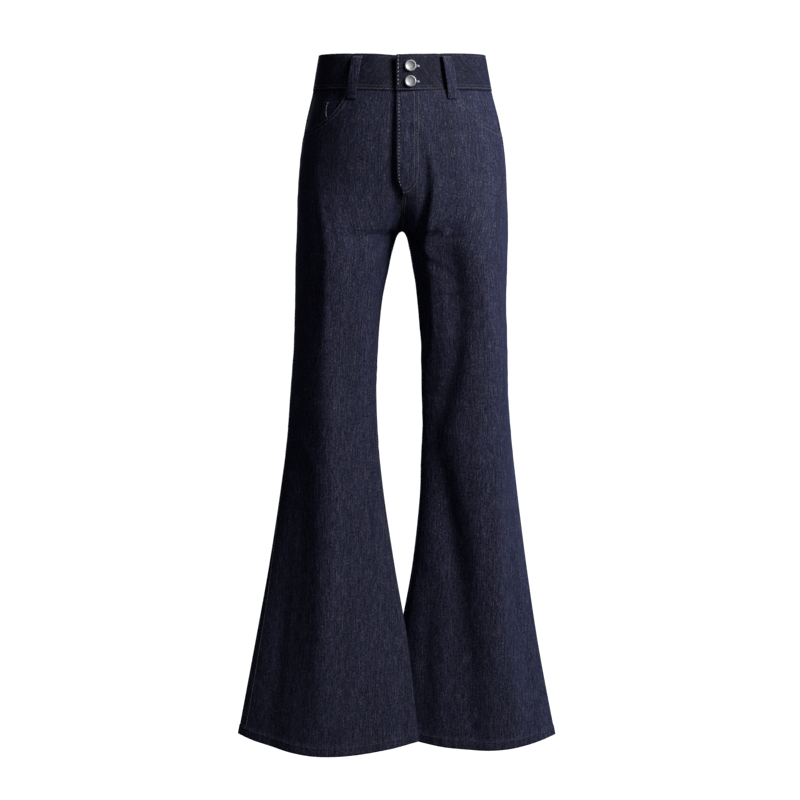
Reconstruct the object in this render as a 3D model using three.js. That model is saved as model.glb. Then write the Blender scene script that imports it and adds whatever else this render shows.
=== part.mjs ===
// Flared, high-waisted denim jeans with the hollow, filled-out form of a worn garment.
// Two front and two back panels run from the waistband to a wide hem. The fronts have curved
// hip pockets over a facing, and a coin pocket. The backs have a yoke and a patch pocket each.
// A deep contour waistband closes over itself with two shank buttons and carries five belt loops.
//
// Units are mm. -Y is the front, +X is the wearer's left and +Z is up.
// The origin is the centre of the waist opening, level with its top edge at the side seams.
import * as THREE from "three";

// Cloth and seams
const CLOTH = 1.6; // one layer of denim
const PATCH_CLOTH = 1.2; // pressed layer of a coin or back pocket
const SEAM_GAP = 0.3; // between two pieces at a seam, and under a piece that lies on another
const HEM = { height: 15, step: 1, outward: 0.5, inward: 0.9 }; // turned up, thicker than the panel

// Heights are distances below the waist's top edge at the side seams.
const BAND = { height: 51, cloth: 3.0, proud: 0.8, overlap: 3.7 };
const BAND_GRID = { rows: 2, frontColumns: 14, backColumns: 20 };
const TOP_DIP = { front: 4, back: -5 }; // the top edge dips at the centre front, rises at the back
const FLY_END = 200;
const FLY_DRAW_IN = { from: 186, to: 195 }; // where its edge goes back to the centre line
const CROTCH = { depth: 259, y: 8, frontStart: 138, backStart: 165, power: 2.3, spread: 301, fade: 420 };
// The hem hangs lower between its seams, and the left leg's hem a little lower than the right's.
const HEM_LINE = {
  right: { side: 1026, inner: 1034, bow: 13 },
  left: { side: 1033, inner: 1032, bow: 12 },
};

// Turns the rows of a table into objects with named columns.
const table = (columns, rows) =>
  rows.map((row) => Object.fromEntries(row.map((value, i) => [columns[i], value])));

// Half-sections of the worn form. outerRight to innerLeft are the distances of each leg's edges
// from the centre plane, front and back the reach of its cloth.
const SECTIONS = table(["depth", "outerRight", "outerLeft", "innerRight", "innerLeft", "front", "back"], [
  [-12, 120.5, 120.5, 0, 0, 91, 91],
  [51, 131.5, 132.5, 0, 0, 98, 100],
  [100, 143, 145, 0, 0, 103, 110],
  [150, 151, 153, 0, 0, 105, 118],
  [200, 155, 156, 0, 0, 104, 122],
  [259, 157, 158, 10, 8, 99, 114],
  [301, 159, 157, 18, 15, 92, 102],
  [361, 160, 156, 30, 25, 82, 89],
  [421, 162, 158, 36, 32, 74, 78],
  [500, 168, 160, 39, 36, 66, 68],
  [573, 174, 166, 36, 32, 63, 66],
  [634, 182, 173, 30, 29, 62, 66],
  [757, 201, 189, 12, 17, 65, 67],
  [882, 224, 208, -9, -4, 74, 72],
  [1045, 255, 239, -27, -25, 86, 76],
]);

// The right leg stands a little ahead, and its inner edge laps over the other at the hem.
const LEAD = { from: 300, to: 1000, reach: 10 };
const LAP = { from: 560, to: 1030, reach: 14 };

// From the hip to the thigh a section turns from half an oval into a leg's own oval, and towards
// the hem it flattens into a lens with a corner at each seam. Pulls are shares of the reach, and
// leans shares of the width, at which the curve's handles lie.
const LEG_TURN = { from: 130, to: 300, ovalPull: 0.56, legPull: 4 / 3 };
const LENS = { from: 450, to: 960, outerLean: 0.36, innerLean: 0.4, outerPull: 1.0, innerPull: 0.8 };

// Soft folds. across is the place from the side seam (0) to the inner seam (1), bow how far the
// fold's line bends aside half-way, width the half-width in mm, and swell the height in mm,
// negative for a trough.
const FOLDS = table(
  ["leg", "face", "fromDepth", "fromAcross", "toDepth", "toAcross", "bow", "width", "swell"],
  [
    ["right", "front", 160, 0.45, 1120, 0.45, 0.03, 26, 6],
    ["right", "front", 240, 0.68, 1120, 0.7, 0, 30, -3],
    ["right", "front", 520, 0.2, 1150, 0.2, 0, 26, -8],
    ["left", "front", 150, 0.66, 610, 0.9, -0.23, 22, -7],
    ["left", "front", 530, 0.84, 1140, 0.54, -0.13, 28, -8],
    ["left", "front", 380, 0.87, 1120, 0.87, 0, 22, 6],
    ["left", "front", 300, 0.33, 1120, 0.25, 0, 30, 4],
    ["right", "back", 285, 0.5, 500, 0.85, 0, 22, -6],
    ["right", "back", 560, 0.42, 1130, 0.4, 0, 28, -7],
    ["right", "back", 420, 0.66, 1120, 0.7, 0, 30, 5],
    ["left", "back", 290, 0.46, 510, 0.82, 0, 22, -6],
    ["left", "back", 540, 0.55, 1140, 0.62, 0, 26, -8],
    ["left", "back", 430, 0.3, 1120, 0.28, 0, 30, 5],
  ],
);
const FOLD_CLEAR = { side: 0.09, inner: 0.1 }; // folds fade out before a seam
const FOLD_FULLNESS = 0.8; // below 1, a fold keeps its height for more of its length

// Pieces on and under the panels
const FLY = { edge: 8, under: 4, lift: 2.1, rampFrom: 8, rampTo: 40, settle: 12 };
const SCOOP = { across: 0.53, drop: 61, rowStep: 12.5, angles: [0, 18, 36, 52, 66, 78, 90] };
const FACING = { across: 0.64, bottom: 128, gap: 0.7, rows: 7, columns: 10 };
const FACING_FLUSH = { across: 0.1, from: 78, to: 100 }; // where it comes up to the back's level
const COIN = { top: 69, outerAcross: 0.32, edge: 0.014, foot: 0.03, rows: 6, columns: 4 };
const YOKE = { side: 86, centre: 112, rows: 3, columns: 12 };
const BELOW_YOKE = [0, 20]; // a back's first rows, below its yoke's seam
const BACK_POCKET = { from: 50, width: 122, taper: 6, point: 14, columns: [3, 11], rows: [2, 8] };
const POINT_EASE = 3; // rows below a back pocket in which the grid levels out again
const LOOP = { width: 13, cloth: 1.8, top: 3, bottom: 64, rows: 9, columns: 2 };
const LOOP_BOW = { height: 3.4, end: 0.9, power: 0.7 }; // end and the settling are shares of its length
const LOOP_SETTLE = { from: 0.84, to: 0.96 }; // where it comes off the band onto the cloth below
const LOOP_PLACES = table(["name", "leg", "face", "top", "bottom"], [
  ["front_right", "right", "front", 63, 72.5],
  ["front_left", "left", "front", 63, 72.5],
  ["back_right", "right", "back", 76, 82],
  ["back_left", "left", "back", 76, 82],
  ["back_centre", "left", "back", 0, 0],
]);
const BUTTON = { x: 11.5, radius: 8.5, rim: 1.2, dome: 1.6, shank: 3.2, stand: 1.2, bevel: 0.5 };
const BUTTON_GRID = { sides: 16, capSteps: 3 };
const BUTTON_DEPTHS = { button_upper: 20, button_lower: 42 };

// A panel's grid. Each row has its depth at the outer edge, at the turn and at the centre seam or
// inseam, where the rows draw together around the crotch.
const PANEL_COLUMNS = 14;
const ROW_TURN = 0.78; // share of a front's width at the turn; on a back it is the pocket's edge
const HIP_ROWS = table(["outer", "turn", "inner"], [
  [131, 138, 143],
  [151, 158, 162],
  [171, 178, 181],
  [191, 198, 196],
  [211, 218, 212],
  [231, 237, 229],
  [250, 256, 243],
  [268, 271, 252],
  [284, 284, 257],
  [299, 296, CROTCH.depth],
  [314, 309, 261.5],
  [330, 324, 268],
  [348, 342, 281],
  [370, 365, 304],
  [395, 392, 340],
  [425, 424, 388],
]);
const LEG_ROWS = [465, 510, 565, 625, 690, 757, 825, 890, 955, 998];
const HEM_ROWS = [HEM.height + HEM.step / 2, HEM.height - HEM.step / 2, 0]; // above the hem line
const HEM_BEND = { from: 757, to: 1015, length: 1030 }; // where the rows turn to the hem's line
const POCKET_FADE = { from: 300, to: 465 }; // where a back's columns leave the pocket's edges

const DENIM = new THREE.MeshStandardMaterial({ color: 0x23243a, roughness: 0.85, metalness: 0 });
const METAL = new THREE.MeshStandardMaterial({ color: 0xb9bac0, roughness: 0.35, metalness: 1 });

const { lerp: mix, smoothstep, clamp } = THREE.MathUtils;
const sideOf = (leg) => (leg === "right" ? -1 : 1);
const wayOf = (face) => (face === "front" ? -1 : 1);

// A smooth curve through one column of the sections, level where the column turns.
function sectionSize(column, depth) {
  const last = SECTIONS.length - 1;
  const above = SECTIONS.findIndex((row) => row.depth > depth);
  const k = clamp(above < 0 ? last : above, 1, last) - 1;
  const chord = (i) =>
    (SECTIONS[i + 1][column] - SECTIONS[i][column]) / (SECTIONS[i + 1].depth - SECTIONS[i].depth);
  const slope = (i) => {
    if (i === 0 || i === last) return chord(Math.min(i, last - 1));
    const [before, after] = [chord(i - 1), chord(i)];
    return before * after <= 0 ? 0 : (2 * before * after) / (before + after);
  };
  const span = SECTIONS[k + 1].depth - SECTIONS[k].depth;
  const t = clamp((depth - SECTIONS[k].depth) / span, 0, 1);
  return (
    SECTIONS[k][column] * (1 + 2 * t) * (1 - t) ** 2 +
    SECTIONS[k + 1][column] * t * t * (3 - 2 * t) +
    span * (slope(k) * t * (1 - t) ** 2 - slope(k + 1) * t * t * (1 - t))
  );
}

// Where the centre seam lies, front to back, as it curves under to the crotch.
function centreSeam(face, depth) {
  const start = face === "front" ? CROTCH.frontStart : CROTCH.backStart;
  const fallen = clamp((depth - start) / (CROTCH.depth - start), 0, 1);
  const share = (1 - fallen ** CROTCH.power) ** (1 / CROTCH.power);
  return mix(CROTCH.y, wayOf(face) * sectionSize(face, depth), share);
}

function edgesOf(leg, depth) {
  const [outer, inner] = leg === "right" ? ["outerRight", "innerRight"] : ["outerLeft", "innerLeft"];
  return { outer: sectionSize(outer, depth), inner: sectionSize(inner, depth) };
}

// One half-section, from the side seam to the centre seam or inseam: a cubic curve in plan whose
// last stretch bends to the seam's own point. Its handles turn smoothly from hip to thigh.
function sectionCurve(leg, face, depth) {
  const side = sideOf(leg);
  const way = wayOf(face);
  const reach = sectionSize(face, depth);
  const turned = smoothstep(depth, LEG_TURN.from, LEG_TURN.to);
  const lens = smoothstep(depth, LENS.from, LENS.to);
  const lead = side * LEAD.reach * smoothstep(depth, LEAD.from, LEAD.to);
  const lap = side * LAP.reach * smoothstep(depth, LAP.from, LAP.to);
  const { outer, inner } = edgesOf(leg, depth);
  const width = outer - inner;
  const inseamY = CROTCH.y * (1 - smoothstep(depth, CROTCH.depth, CROTCH.fade)) + lead + lap;
  const crown = lead + way * reach;
  const innerY = mix(crown, inseamY, turned);
  const outerPull = mix(mix(LEG_TURN.ovalPull, LEG_TURN.legPull, turned), LENS.outerPull, lens);
  const handles = [
    [outer, lead],
    [outer - LENS.outerLean * lens * width, lead + way * reach * outerPull],
    [
      inner + width * (LENS.innerLean * lens + LEG_TURN.ovalPull * (1 - turned)),
      mix(crown - (innerY - crown) / 3, innerY + way * reach * LENS.innerPull, lens),
    ],
    [inner, innerY],
  ];
  let seam = [inner, inseamY];
  if (depth < CROTCH.spread) {
    const opened = Math.max(depth - CROTCH.depth, 0) / (CROTCH.spread - CROTCH.depth);
    seam[0] = edgesOf(leg, CROTCH.spread).inner * Math.sqrt(opened);
  }
  if (depth <= CROTCH.depth) seam = [0, centreSeam(face, depth)];
  return { side, handles, bend: [seam[0] - inner, seam[1] - innerY] };
}

// The half-section's points with the length of the unbent curve up to each, kept for each height.
// Shares follow the unbent curve, so the grid runs smoothly past the crotch.
const SECTION_STEPS = 64;
const BEND_POWER = 5; // a higher power keeps the bend closer to the seam
const known = new Map();
function halfSection(leg, face, depth) {
  const key = leg + face + depth.toFixed(4);
  if (known.has(key)) return known.get(key);
  const { side, handles, bend } = sectionCurve(leg, face, depth);
  const points = [];
  const along = [0];
  let last;
  for (let i = 0; i <= SECTION_STEPS; i++) {
    const t = i / SECTION_STEPS;
    const weights = [(1 - t) ** 3, 3 * t * (1 - t) ** 2, 3 * t * t * (1 - t), t ** 3];
    const [x, y] = [0, 1].map((axis) =>
      handles.reduce((sum, handle, k) => sum + weights[k] * handle[axis], 0),
    );
    if (last) along.push(along[i - 1] + Math.hypot(x - last[0], y - last[1]));
    last = [x, y];
    const bent = t ** BEND_POWER;
    points.push([side * (x + bend[0] * bent), y + bend[1] * bent]);
  }
  const found = { points, along, length: along[SECTION_STEPS] };
  known.set(key, found);
  return found;
}
const halfLength = (leg, face, depth) => halfSection(leg, face, depth).length;

// A point of the smooth form. Past 1, a section goes on across the centre plane.
function bare(leg, face, depth, across) {
  const { points, along, length } = halfSection(leg, face, depth);
  const target = (across > 1 ? 2 - across : across) * length;
  let i = along.findIndex((l) => l > target);
  if (i < 1) i = along.length - 1;
  const t = (target - along[i - 1]) / (along[i] - along[i - 1]);
  const x = mix(points[i - 1][0], points[i][0], t);
  return new THREE.Vector3(across > 1 ? -x : x, mix(points[i - 1][1], points[i][1], t), -depth);
}

// The outward direction of the smooth form.
const NORMAL_STEP = { across: 0.004, depth: 0.6 };
function outward(leg, face, depth, across) {
  const step = NORMAL_STEP.across;
  const atSeam = across >= 1 && across < 1 + step;
  const low = atSeam ? 1 - 2 * step : Math.max(across - step, 0);
  const high = atSeam ? 1 : across + step;
  const u = bare(leg, face, depth, high).sub(bare(leg, face, depth, low));
  const v = bare(leg, face, depth + NORMAL_STEP.depth, across);
  v.sub(bare(leg, face, depth - NORMAL_STEP.depth, across));
  const normal = u.cross(v).normalize();
  return (leg === "right") === (face === "front") ? normal.negate() : normal;
}

function foldHeight(leg, face, depth, across) {
  const length = halfLength(leg, face, depth);
  const atSide = smoothstep(across, 0, FOLD_CLEAR.side);
  const clear = atSide * (1 - smoothstep(across, 1 - FOLD_CLEAR.inner, 1));
  return FOLDS.filter((fold) => fold.leg === leg && fold.face === face).reduce((sum, fold) => {
    const t = (depth - fold.fromDepth) / (fold.toDepth - fold.fromDepth);
    if (t <= 0 || t >= 1) return sum;
    const arch = Math.sin(Math.PI * t);
    const middle = mix(fold.fromAcross, fold.toAcross, t) + fold.bow * arch;
    const off = ((across - middle) * length) / fold.width;
    return sum + fold.swell * arch ** FOLD_FULLNESS * Math.exp(-off * off) * clear;
  }, 0);
}

// A point on the cloth at a lift from its outer face. Along a seam it moves in the seam's own
// plane, so that the two pieces that meet there stay apart.
const LEAST_SHARE = 0.4; // a mitre at a seam is at most this share's inverse times as deep
function onCloth(leg, face, depth, across, lift) {
  const point = bare(leg, face, depth, across);
  const normal = outward(leg, face, depth, across);
  const side = sideOf(leg);
  const apart = (wayOf(face) * SEAM_GAP) / 2;
  const level = lift + foldHeight(leg, face, depth, across);
  if (across === 0) {
    point.x += (level * side) / Math.max(Math.abs(normal.x), LEAST_SHARE);
    point.y += apart;
    return point;
  }
  if (across !== 1) return point.addScaledVector(normal, level);
  const seam = new THREE.Vector3(0, 0, -1);
  if (depth < CROTCH.depth) seam.set(0, normal.y, normal.z);
  if (depth > CROTCH.depth) seam.set(normal.x, 0, normal.z);
  const share = Math.max(seam.length(), LEAST_SHARE);
  point.addScaledVector(seam.normalize(), level / share);
  if (depth <= CROTCH.depth) point.x += (side * SEAM_GAP) / 2;
  if (depth >= CROTCH.depth) point.y += apart;
  return point;
}

// A closed wall between an outer and an inner grid of points.
function wall(rows, columns, corner) {
  const points = [];
  for (const inside of [false, true])
    for (let r = 0; r <= rows; r++)
      for (let c = 0; c <= columns; c++) points.push(corner(r, c, inside));
  const at = (r, c, inside) => (inside ? (rows + 1) * (columns + 1) : 0) + r * (columns + 1) + c;
  const faces = [];
  const quad = (a, b, c, d) => faces.push([a, b, c], [a, c, d]);
  for (let r = 0; r < rows; r++)
    for (let c = 0; c < columns; c++) {
      quad(at(r, c, false), at(r, c + 1, false), at(r + 1, c + 1, false), at(r + 1, c, false));
      quad(at(r, c, true), at(r + 1, c, true), at(r + 1, c + 1, true), at(r, c + 1, true));
    }
  for (let r = 0; r < rows; r++) {
    quad(at(r, 0, false), at(r + 1, 0, false), at(r + 1, 0, true), at(r, 0, true));
    quad(at(r + 1, columns, false), at(r, columns, false), at(r, columns, true), at(r + 1, columns, true));
  }
  for (let c = 0; c < columns; c++) {
    quad(at(0, c + 1, false), at(0, c, false), at(0, c, true), at(0, c + 1, true));
    quad(at(rows, c, false), at(rows, c + 1, false), at(rows, c + 1, true), at(rows, c, true));
  }
  const volume = faces.reduce(
    (sum, [a, b, c]) => sum + points[a].dot(new THREE.Vector3().crossVectors(points[b], points[c])),
    0,
  );
  const facing = volume > 0 ? faces : faces.map(([a, b, c]) => [a, c, b]);
  const geometry = new THREE.BufferGeometry();
  const numbers = points.flatMap((p) => p.toArray());
  geometry.setAttribute("position", new THREE.Float32BufferAttribute(numbers, 3));
  geometry.setIndex(facing.flat());
  return geometry;
}

const bandTop = (face, across) => TOP_DIP[face] * Math.min(across, 1) ** 2;
const bandSeam = (face, across) => bandTop(face, across) + BAND.height;
const yokeSeam = (across) => mix(YOKE.side, YOKE.centre, across);
const hemDepth = (leg, across) => {
  const { side, inner, bow } = HEM_LINE[leg];
  return mix(side, inner, across) + bow * Math.sin(Math.PI * across);
};
const scoopTop = BAND.height + SEAM_GAP;
const scoopAcross = (depth) =>
  SCOOP.across * Math.sqrt(Math.max(1 - ((depth - scoopTop) / SCOOP.drop) ** 2, 0));

// Share of a half-section at which it is a given distance from the centre plane.
const CLOSE_ENOUGH = 1e-9;
function acrossAt(leg, face, depth, distance) {
  let low = 0;
  let high = 1;
  while (high - low > CLOSE_ENOUGH) {
    const middle = (low + high) / 2;
    if (Math.abs(bare(leg, face, depth, middle).x) > distance) low = middle;
    else high = middle;
  }
  return low;
}

// The fly: above its end the left front runs over the centre line and lies on the right front.
function flyEdge(leg, depth) {
  const share = 1 - smoothstep(depth, FLY_DRAW_IN.from, FLY_DRAW_IN.to);
  const beyond = leg === "left" ? FLY.edge : FLY.under;
  return 1 + (beyond * share) / halfLength(leg, "front", depth);
}
function onTop(leg, depth, across) {
  if (leg === "right") return 0;
  const toCentre = (1 - across) * halfLength(leg, "front", depth);
  return 1 - smoothstep(toCentre, FLY.rampFrom, FLY.rampTo);
}
const flyLift = (leg, depth, across) =>
  FLY.lift * onTop(leg, depth, across) * (1 - smoothstep(depth, FLY_END, FLY_END + FLY.settle));
const bandLift = (leg, depth, across) => BAND.proud + BAND.overlap * onTop(leg, depth, across);

// The rows around the scoop turn with its edge.
const SCOOP_ROWS = SCOOP.angles.map((angle, i) => ({
  outer: scoopTop + SCOOP.drop * Math.sin(THREE.MathUtils.degToRad(angle)),
  inner: scoopTop + TOP_DIP.front + SCOOP.rowStep * i,
  scooped: true,
}));
const LOWER_ROWS = [
  ...HIP_ROWS,
  ...LEG_ROWS.map((depth) => ({ outer: depth, turn: depth, inner: depth })),
  ...HEM_ROWS.map((above) => ({ above })),
];
const ROWS = {
  front: [...SCOOP_ROWS, ...LOWER_ROWS],
  back: [...BELOW_YOKE.map((belowYoke) => ({ belowYoke })), ...LOWER_ROWS],
};
const rowDepth = (row, share, turn) =>
  share < turn
    ? mix(row.outer, row.turn, share / turn)
    : mix(row.turn, row.inner, (share - turn) / (1 - turn));
const hung = (leg, depth, across) =>
  depth + (hemDepth(leg, across) - HEM_BEND.length) * smoothstep(depth, HEM_BEND.from, HEM_BEND.to);

// Where the fronts' grid crosses the form: its depth and its share of the half-section.
function frontPlace(leg, r, c) {
  const row = ROWS.front[r];
  const share = c / PANEL_COLUMNS;
  if (row.above !== undefined) return { depth: hemDepth(leg, share) - row.above, across: share };
  const depth = row.scooped ? mix(row.outer, row.inner, share) : rowDepth(row, share, ROW_TURN);
  const start = row.scooped ? scoopAcross(row.outer) : 0;
  const across = mix(start, depth < CROTCH.depth ? flyEdge(leg, depth) : 1, share);
  if (r === 0) return { depth: bandSeam("front", across) + SEAM_GAP, across };
  return { depth: hung(leg, depth, across), across };
}

// The backs' grid holds the back pocket's edges, its slanted top and its point.
function backPlace(leg, r, c) {
  const row = ROWS.back[r];
  const [firstColumn, lastColumn] = BACK_POCKET.columns;
  const [topRow, bottomRow] = BACK_POCKET.rows;
  const length = halfLength(leg, "back", HIP_ROWS[0].outer);
  const drawIn = BACK_POCKET.taper * clamp((r - topRow) / (bottomRow - topRow), 0, 1);
  const edges = [BACK_POCKET.from + drawIn, BACK_POCKET.from + BACK_POCKET.width - drawIn];
  const height = row.outer ?? row.belowYoke ?? HEM_BEND.length;
  const drawn = 1 - smoothstep(height, POCKET_FADE.from, POCKET_FADE.to);
  const outer = mix(firstColumn / PANEL_COLUMNS, edges[0] / length, drawn);
  const inner = mix(lastColumn / PANEL_COLUMNS, edges[1] / length, drawn);
  const share = (c - firstColumn) / (lastColumn - firstColumn);
  let across = mix(outer, inner, share);
  if (share < 0) across = (outer * c) / firstColumn;
  if (share > 1) across = mix(inner, 1, (c - lastColumn) / (PANEL_COLUMNS - lastColumn));
  if (row.above !== undefined) return { depth: hemDepth(leg, across) - row.above, across };
  if (row.belowYoke !== undefined) return { depth: yokeSeam(across) + SEAM_GAP + row.belowYoke, across };
  const ease = 1 - (r - bottomRow) / POINT_EASE;
  const rise = r <= bottomRow ? (r - topRow) / (bottomRow - topRow) : ease;
  const point = BACK_POCKET.point * Math.max(rise, 0) * Math.max(1 - Math.abs(2 * share - 1), 0);
  return { depth: hung(leg, rowDepth(row, across, inner) + point, across), across };
}

function legPanel(leg, face) {
  const place = face === "front" ? frontPlace : backPlace;
  const rows = ROWS[face];
  return wall(rows.length - 1, PANEL_COLUMNS, (r, c, inside) => {
    const { depth, across } = place(leg, r, c);
    const hemmed = rows[r].above < HEM.height;
    const lift = (face === "front" ? flyLift(leg, depth, across) : 0) + (hemmed ? HEM.outward : 0);
    const thickness = CLOTH + (hemmed ? HEM.outward + HEM.inward : 0);
    return onCloth(leg, face, depth, across, inside ? lift - thickness : lift);
  });
}

function yoke(leg) {
  return wall(YOKE.rows, YOKE.columns, (r, c, inside) => {
    const across = c / YOKE.columns;
    const depth = mix(bandSeam("back", across) + SEAM_GAP, yokeSeam(across), r / YOKE.rows);
    return onCloth(leg, "back", depth, across, inside ? -CLOTH : 0);
  });
}

// The facing shows in the pocket opening. It lies under the front panel, and comes up to the
// back panel's level only along the side seam.
function facingLift(depth, across) {
  const atSeam = 1 - smoothstep(across, 0, FACING_FLUSH.across);
  const flush = atSeam * (1 - smoothstep(depth, FACING_FLUSH.from, FACING_FLUSH.to));
  return -(CLOTH + FACING.gap) * (1 - flush);
}
function pocketFacing(leg) {
  return wall(FACING.rows, FACING.columns, (r, c, inside) => {
    const across = (c / FACING.columns) * FACING.across;
    const depth = mix(bandSeam("front", across) + SEAM_GAP, FACING.bottom, r / FACING.rows);
    return onCloth(leg, "front", depth, across, facingLift(depth, across) - (inside ? CLOTH : 0));
  });
}

// The coin pocket lies on the right facing, and shows as far as the opening's edge.
function coinPocket() {
  const footAcross = (COIN.outerAcross + COIN.foot) / SCOOP.across;
  const bottom = scoopTop + SCOOP.drop * Math.sqrt(1 - footAcross ** 2);
  return wall(COIN.rows, COIN.columns, (r, c, inside) => {
    const depth = mix(COIN.top, bottom, r / COIN.rows);
    const across = mix(COIN.outerAcross, scoopAcross(depth) - COIN.edge, c / COIN.columns);
    const lift = facingLift(depth, across) + SEAM_GAP + (inside ? 0 : PATCH_CLOTH);
    return onCloth("right", "front", depth, across, lift);
  });
}

// A patch pocket, made from the back panel's own points.
function backPocket(leg) {
  const [topRow, bottomRow] = BACK_POCKET.rows;
  const [firstColumn, lastColumn] = BACK_POCKET.columns;
  return wall(bottomRow - topRow, lastColumn - firstColumn, (r, c, inside) => {
    const { depth, across } = backPlace(leg, topRow + r, firstColumn + c);
    return onCloth(leg, "back", depth, across, SEAM_GAP + (inside ? 0 : PATCH_CLOTH));
  });
}

// The waistband's two fronts meet its back at the side seams, and the left one laps the right.
function frontBand(leg) {
  const { rows, frontColumns } = BAND_GRID;
  return wall(rows, frontColumns, (r, c, inside) => {
    const across = (flyEdge(leg, BAND.height / 2) * c) / frontColumns;
    const depth = mix(bandTop("front", across), bandSeam("front", across), r / rows);
    const lift = bandLift(leg, depth, across) - (inside ? BAND.cloth : 0);
    return onCloth(leg, "front", depth, across, lift);
  });
}
function backBand() {
  const { rows, backColumns } = BAND_GRID;
  const half = backColumns / 2;
  return wall(rows, backColumns, (r, c, inside) => {
    const leg = c < half ? "right" : "left";
    const across = 1 - Math.abs(c - half) / half;
    const depth = mix(bandTop("back", across), bandSeam("back", across), r / rows);
    const lift = BAND.proud - (inside ? BAND.cloth : 0);
    if (across < 1) return onCloth(leg, "back", depth, across, lift);
    return bare(leg, "back", depth, 1).add(new THREE.Vector3(0, lift, 0));
  });
}

// A belt loop lies on the band at its top, bows off it and comes down on the panel below.
const OFF_SEAM = 1e-6; // keeps the centre loop's middle off the seam's own mitre
function beltLoop({ leg, face, top, bottom }) {
  return wall(LOOP.rows, LOOP.columns, (r, c, inside) => {
    const t = r / LOOP.rows;
    const edge = bandTop(face, acrossAt(leg, face, LOOP.top, Math.max(top, 1)));
    const depth = mix(LOOP.top, LOOP.bottom, t) + edge;
    const x = mix(top, bottom, t) + LOOP.width * (c / LOOP.columns - 0.5);
    const half = x < 0 ? "right" : leg;
    const seat = mix(BAND.proud, 0, smoothstep(t, LOOP_SETTLE.from, LOOP_SETTLE.to)) + SEAM_GAP;
    const arch = Math.sin(Math.PI * Math.min(t / LOOP_BOW.end, 1));
    const bow = LOOP_BOW.height * arch ** LOOP_BOW.power;
    const across = Math.min(acrossAt(half, face, depth, Math.abs(x)), 1 - OFF_SEAM);
    return onCloth(half, face, depth, across, seat + bow + (inside ? 0 : LOOP.cloth));
  });
}

// A shank button: a shallow domed cap on a short post.
function shankButton() {
  const { radius, rim, dome, shank, stand, bevel } = BUTTON;
  const { sides, capSteps } = BUTTON_GRID;
  const base = [
    [0, 0],
    [shank, 0],
    [shank, stand],
    [radius - bevel, stand],
    [radius, stand + bevel],
  ];
  const cap = Array.from({ length: capSteps }, (_, i) => {
    const angle = ((i / capSteps) * Math.PI) / 2;
    return [radius * Math.cos(angle), stand + rim + dome * Math.sin(angle)];
  });
  const profile = [...base, ...cap, [0, stand + rim + dome]];
  return new THREE.LatheGeometry(profile.map(([x, y]) => new THREE.Vector2(x, y)), sides);
}
function seatButton(mesh) {
  const depth = BUTTON_DEPTHS[mesh.name];
  const across = acrossAt("left", "front", depth, BUTTON.x);
  const lift = bandLift("left", depth, across) + SEAM_GAP;
  mesh.position.copy(onCloth("left", "front", depth, across, lift));
  mesh.quaternion.setFromUnitVectors(new THREE.Vector3(0, 1, 0), outward("left", "front", depth, across));
}

const jeans = new THREE.Group();
function add(name, geometry, material = DENIM) {
  const mesh = new THREE.Mesh(geometry, material);
  mesh.name = name;
  geometry.computeVertexNormals();
  jeans.add(mesh);
  return mesh;
}
for (const leg of ["right", "left"]) {
  add("front_" + leg, legPanel(leg, "front"));
  add("back_" + leg, legPanel(leg, "back"));
  add("yoke_" + leg, yoke(leg));
  add("pocket_facing_" + leg, pocketFacing(leg));
  add("back_pocket_" + leg, backPocket(leg));
  add("waistband_front_" + leg, frontBand(leg));
}
add("waistband_back", backBand());
add("coin_pocket", coinPocket());
LOOP_PLACES.forEach((place) => add("belt_loop_" + place.name, beltLoop(place)));
Object.keys(BUTTON_DEPTHS).forEach((name) => seatButton(add(name, shankButton(), METAL)));

export default jeans;
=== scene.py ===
"""The looks of flared denim jeans in their hollow worn form: cloth, seams, stitching, buttons and studio.

Places on the cloth follow the same sections as the solids. They are in mm, as depths below the waist's top
edge and shares across a half-section, from its side seam (0) to its centre seam or inseam (1). Meshes are in
metres.
"""
import math

import bpy
import numpy as np
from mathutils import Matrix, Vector


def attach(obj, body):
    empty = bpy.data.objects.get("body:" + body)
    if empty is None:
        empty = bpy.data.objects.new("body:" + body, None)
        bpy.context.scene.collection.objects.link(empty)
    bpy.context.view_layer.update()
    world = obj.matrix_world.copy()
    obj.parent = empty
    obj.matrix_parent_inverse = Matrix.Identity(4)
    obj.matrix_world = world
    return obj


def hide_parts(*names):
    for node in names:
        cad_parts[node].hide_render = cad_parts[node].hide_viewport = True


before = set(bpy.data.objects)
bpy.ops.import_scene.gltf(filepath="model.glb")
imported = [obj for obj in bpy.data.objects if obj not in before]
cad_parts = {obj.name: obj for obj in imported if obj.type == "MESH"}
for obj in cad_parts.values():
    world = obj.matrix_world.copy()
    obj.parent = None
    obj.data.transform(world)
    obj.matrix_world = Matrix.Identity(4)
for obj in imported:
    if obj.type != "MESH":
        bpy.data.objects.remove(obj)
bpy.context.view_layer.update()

MM = 0.001

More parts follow.
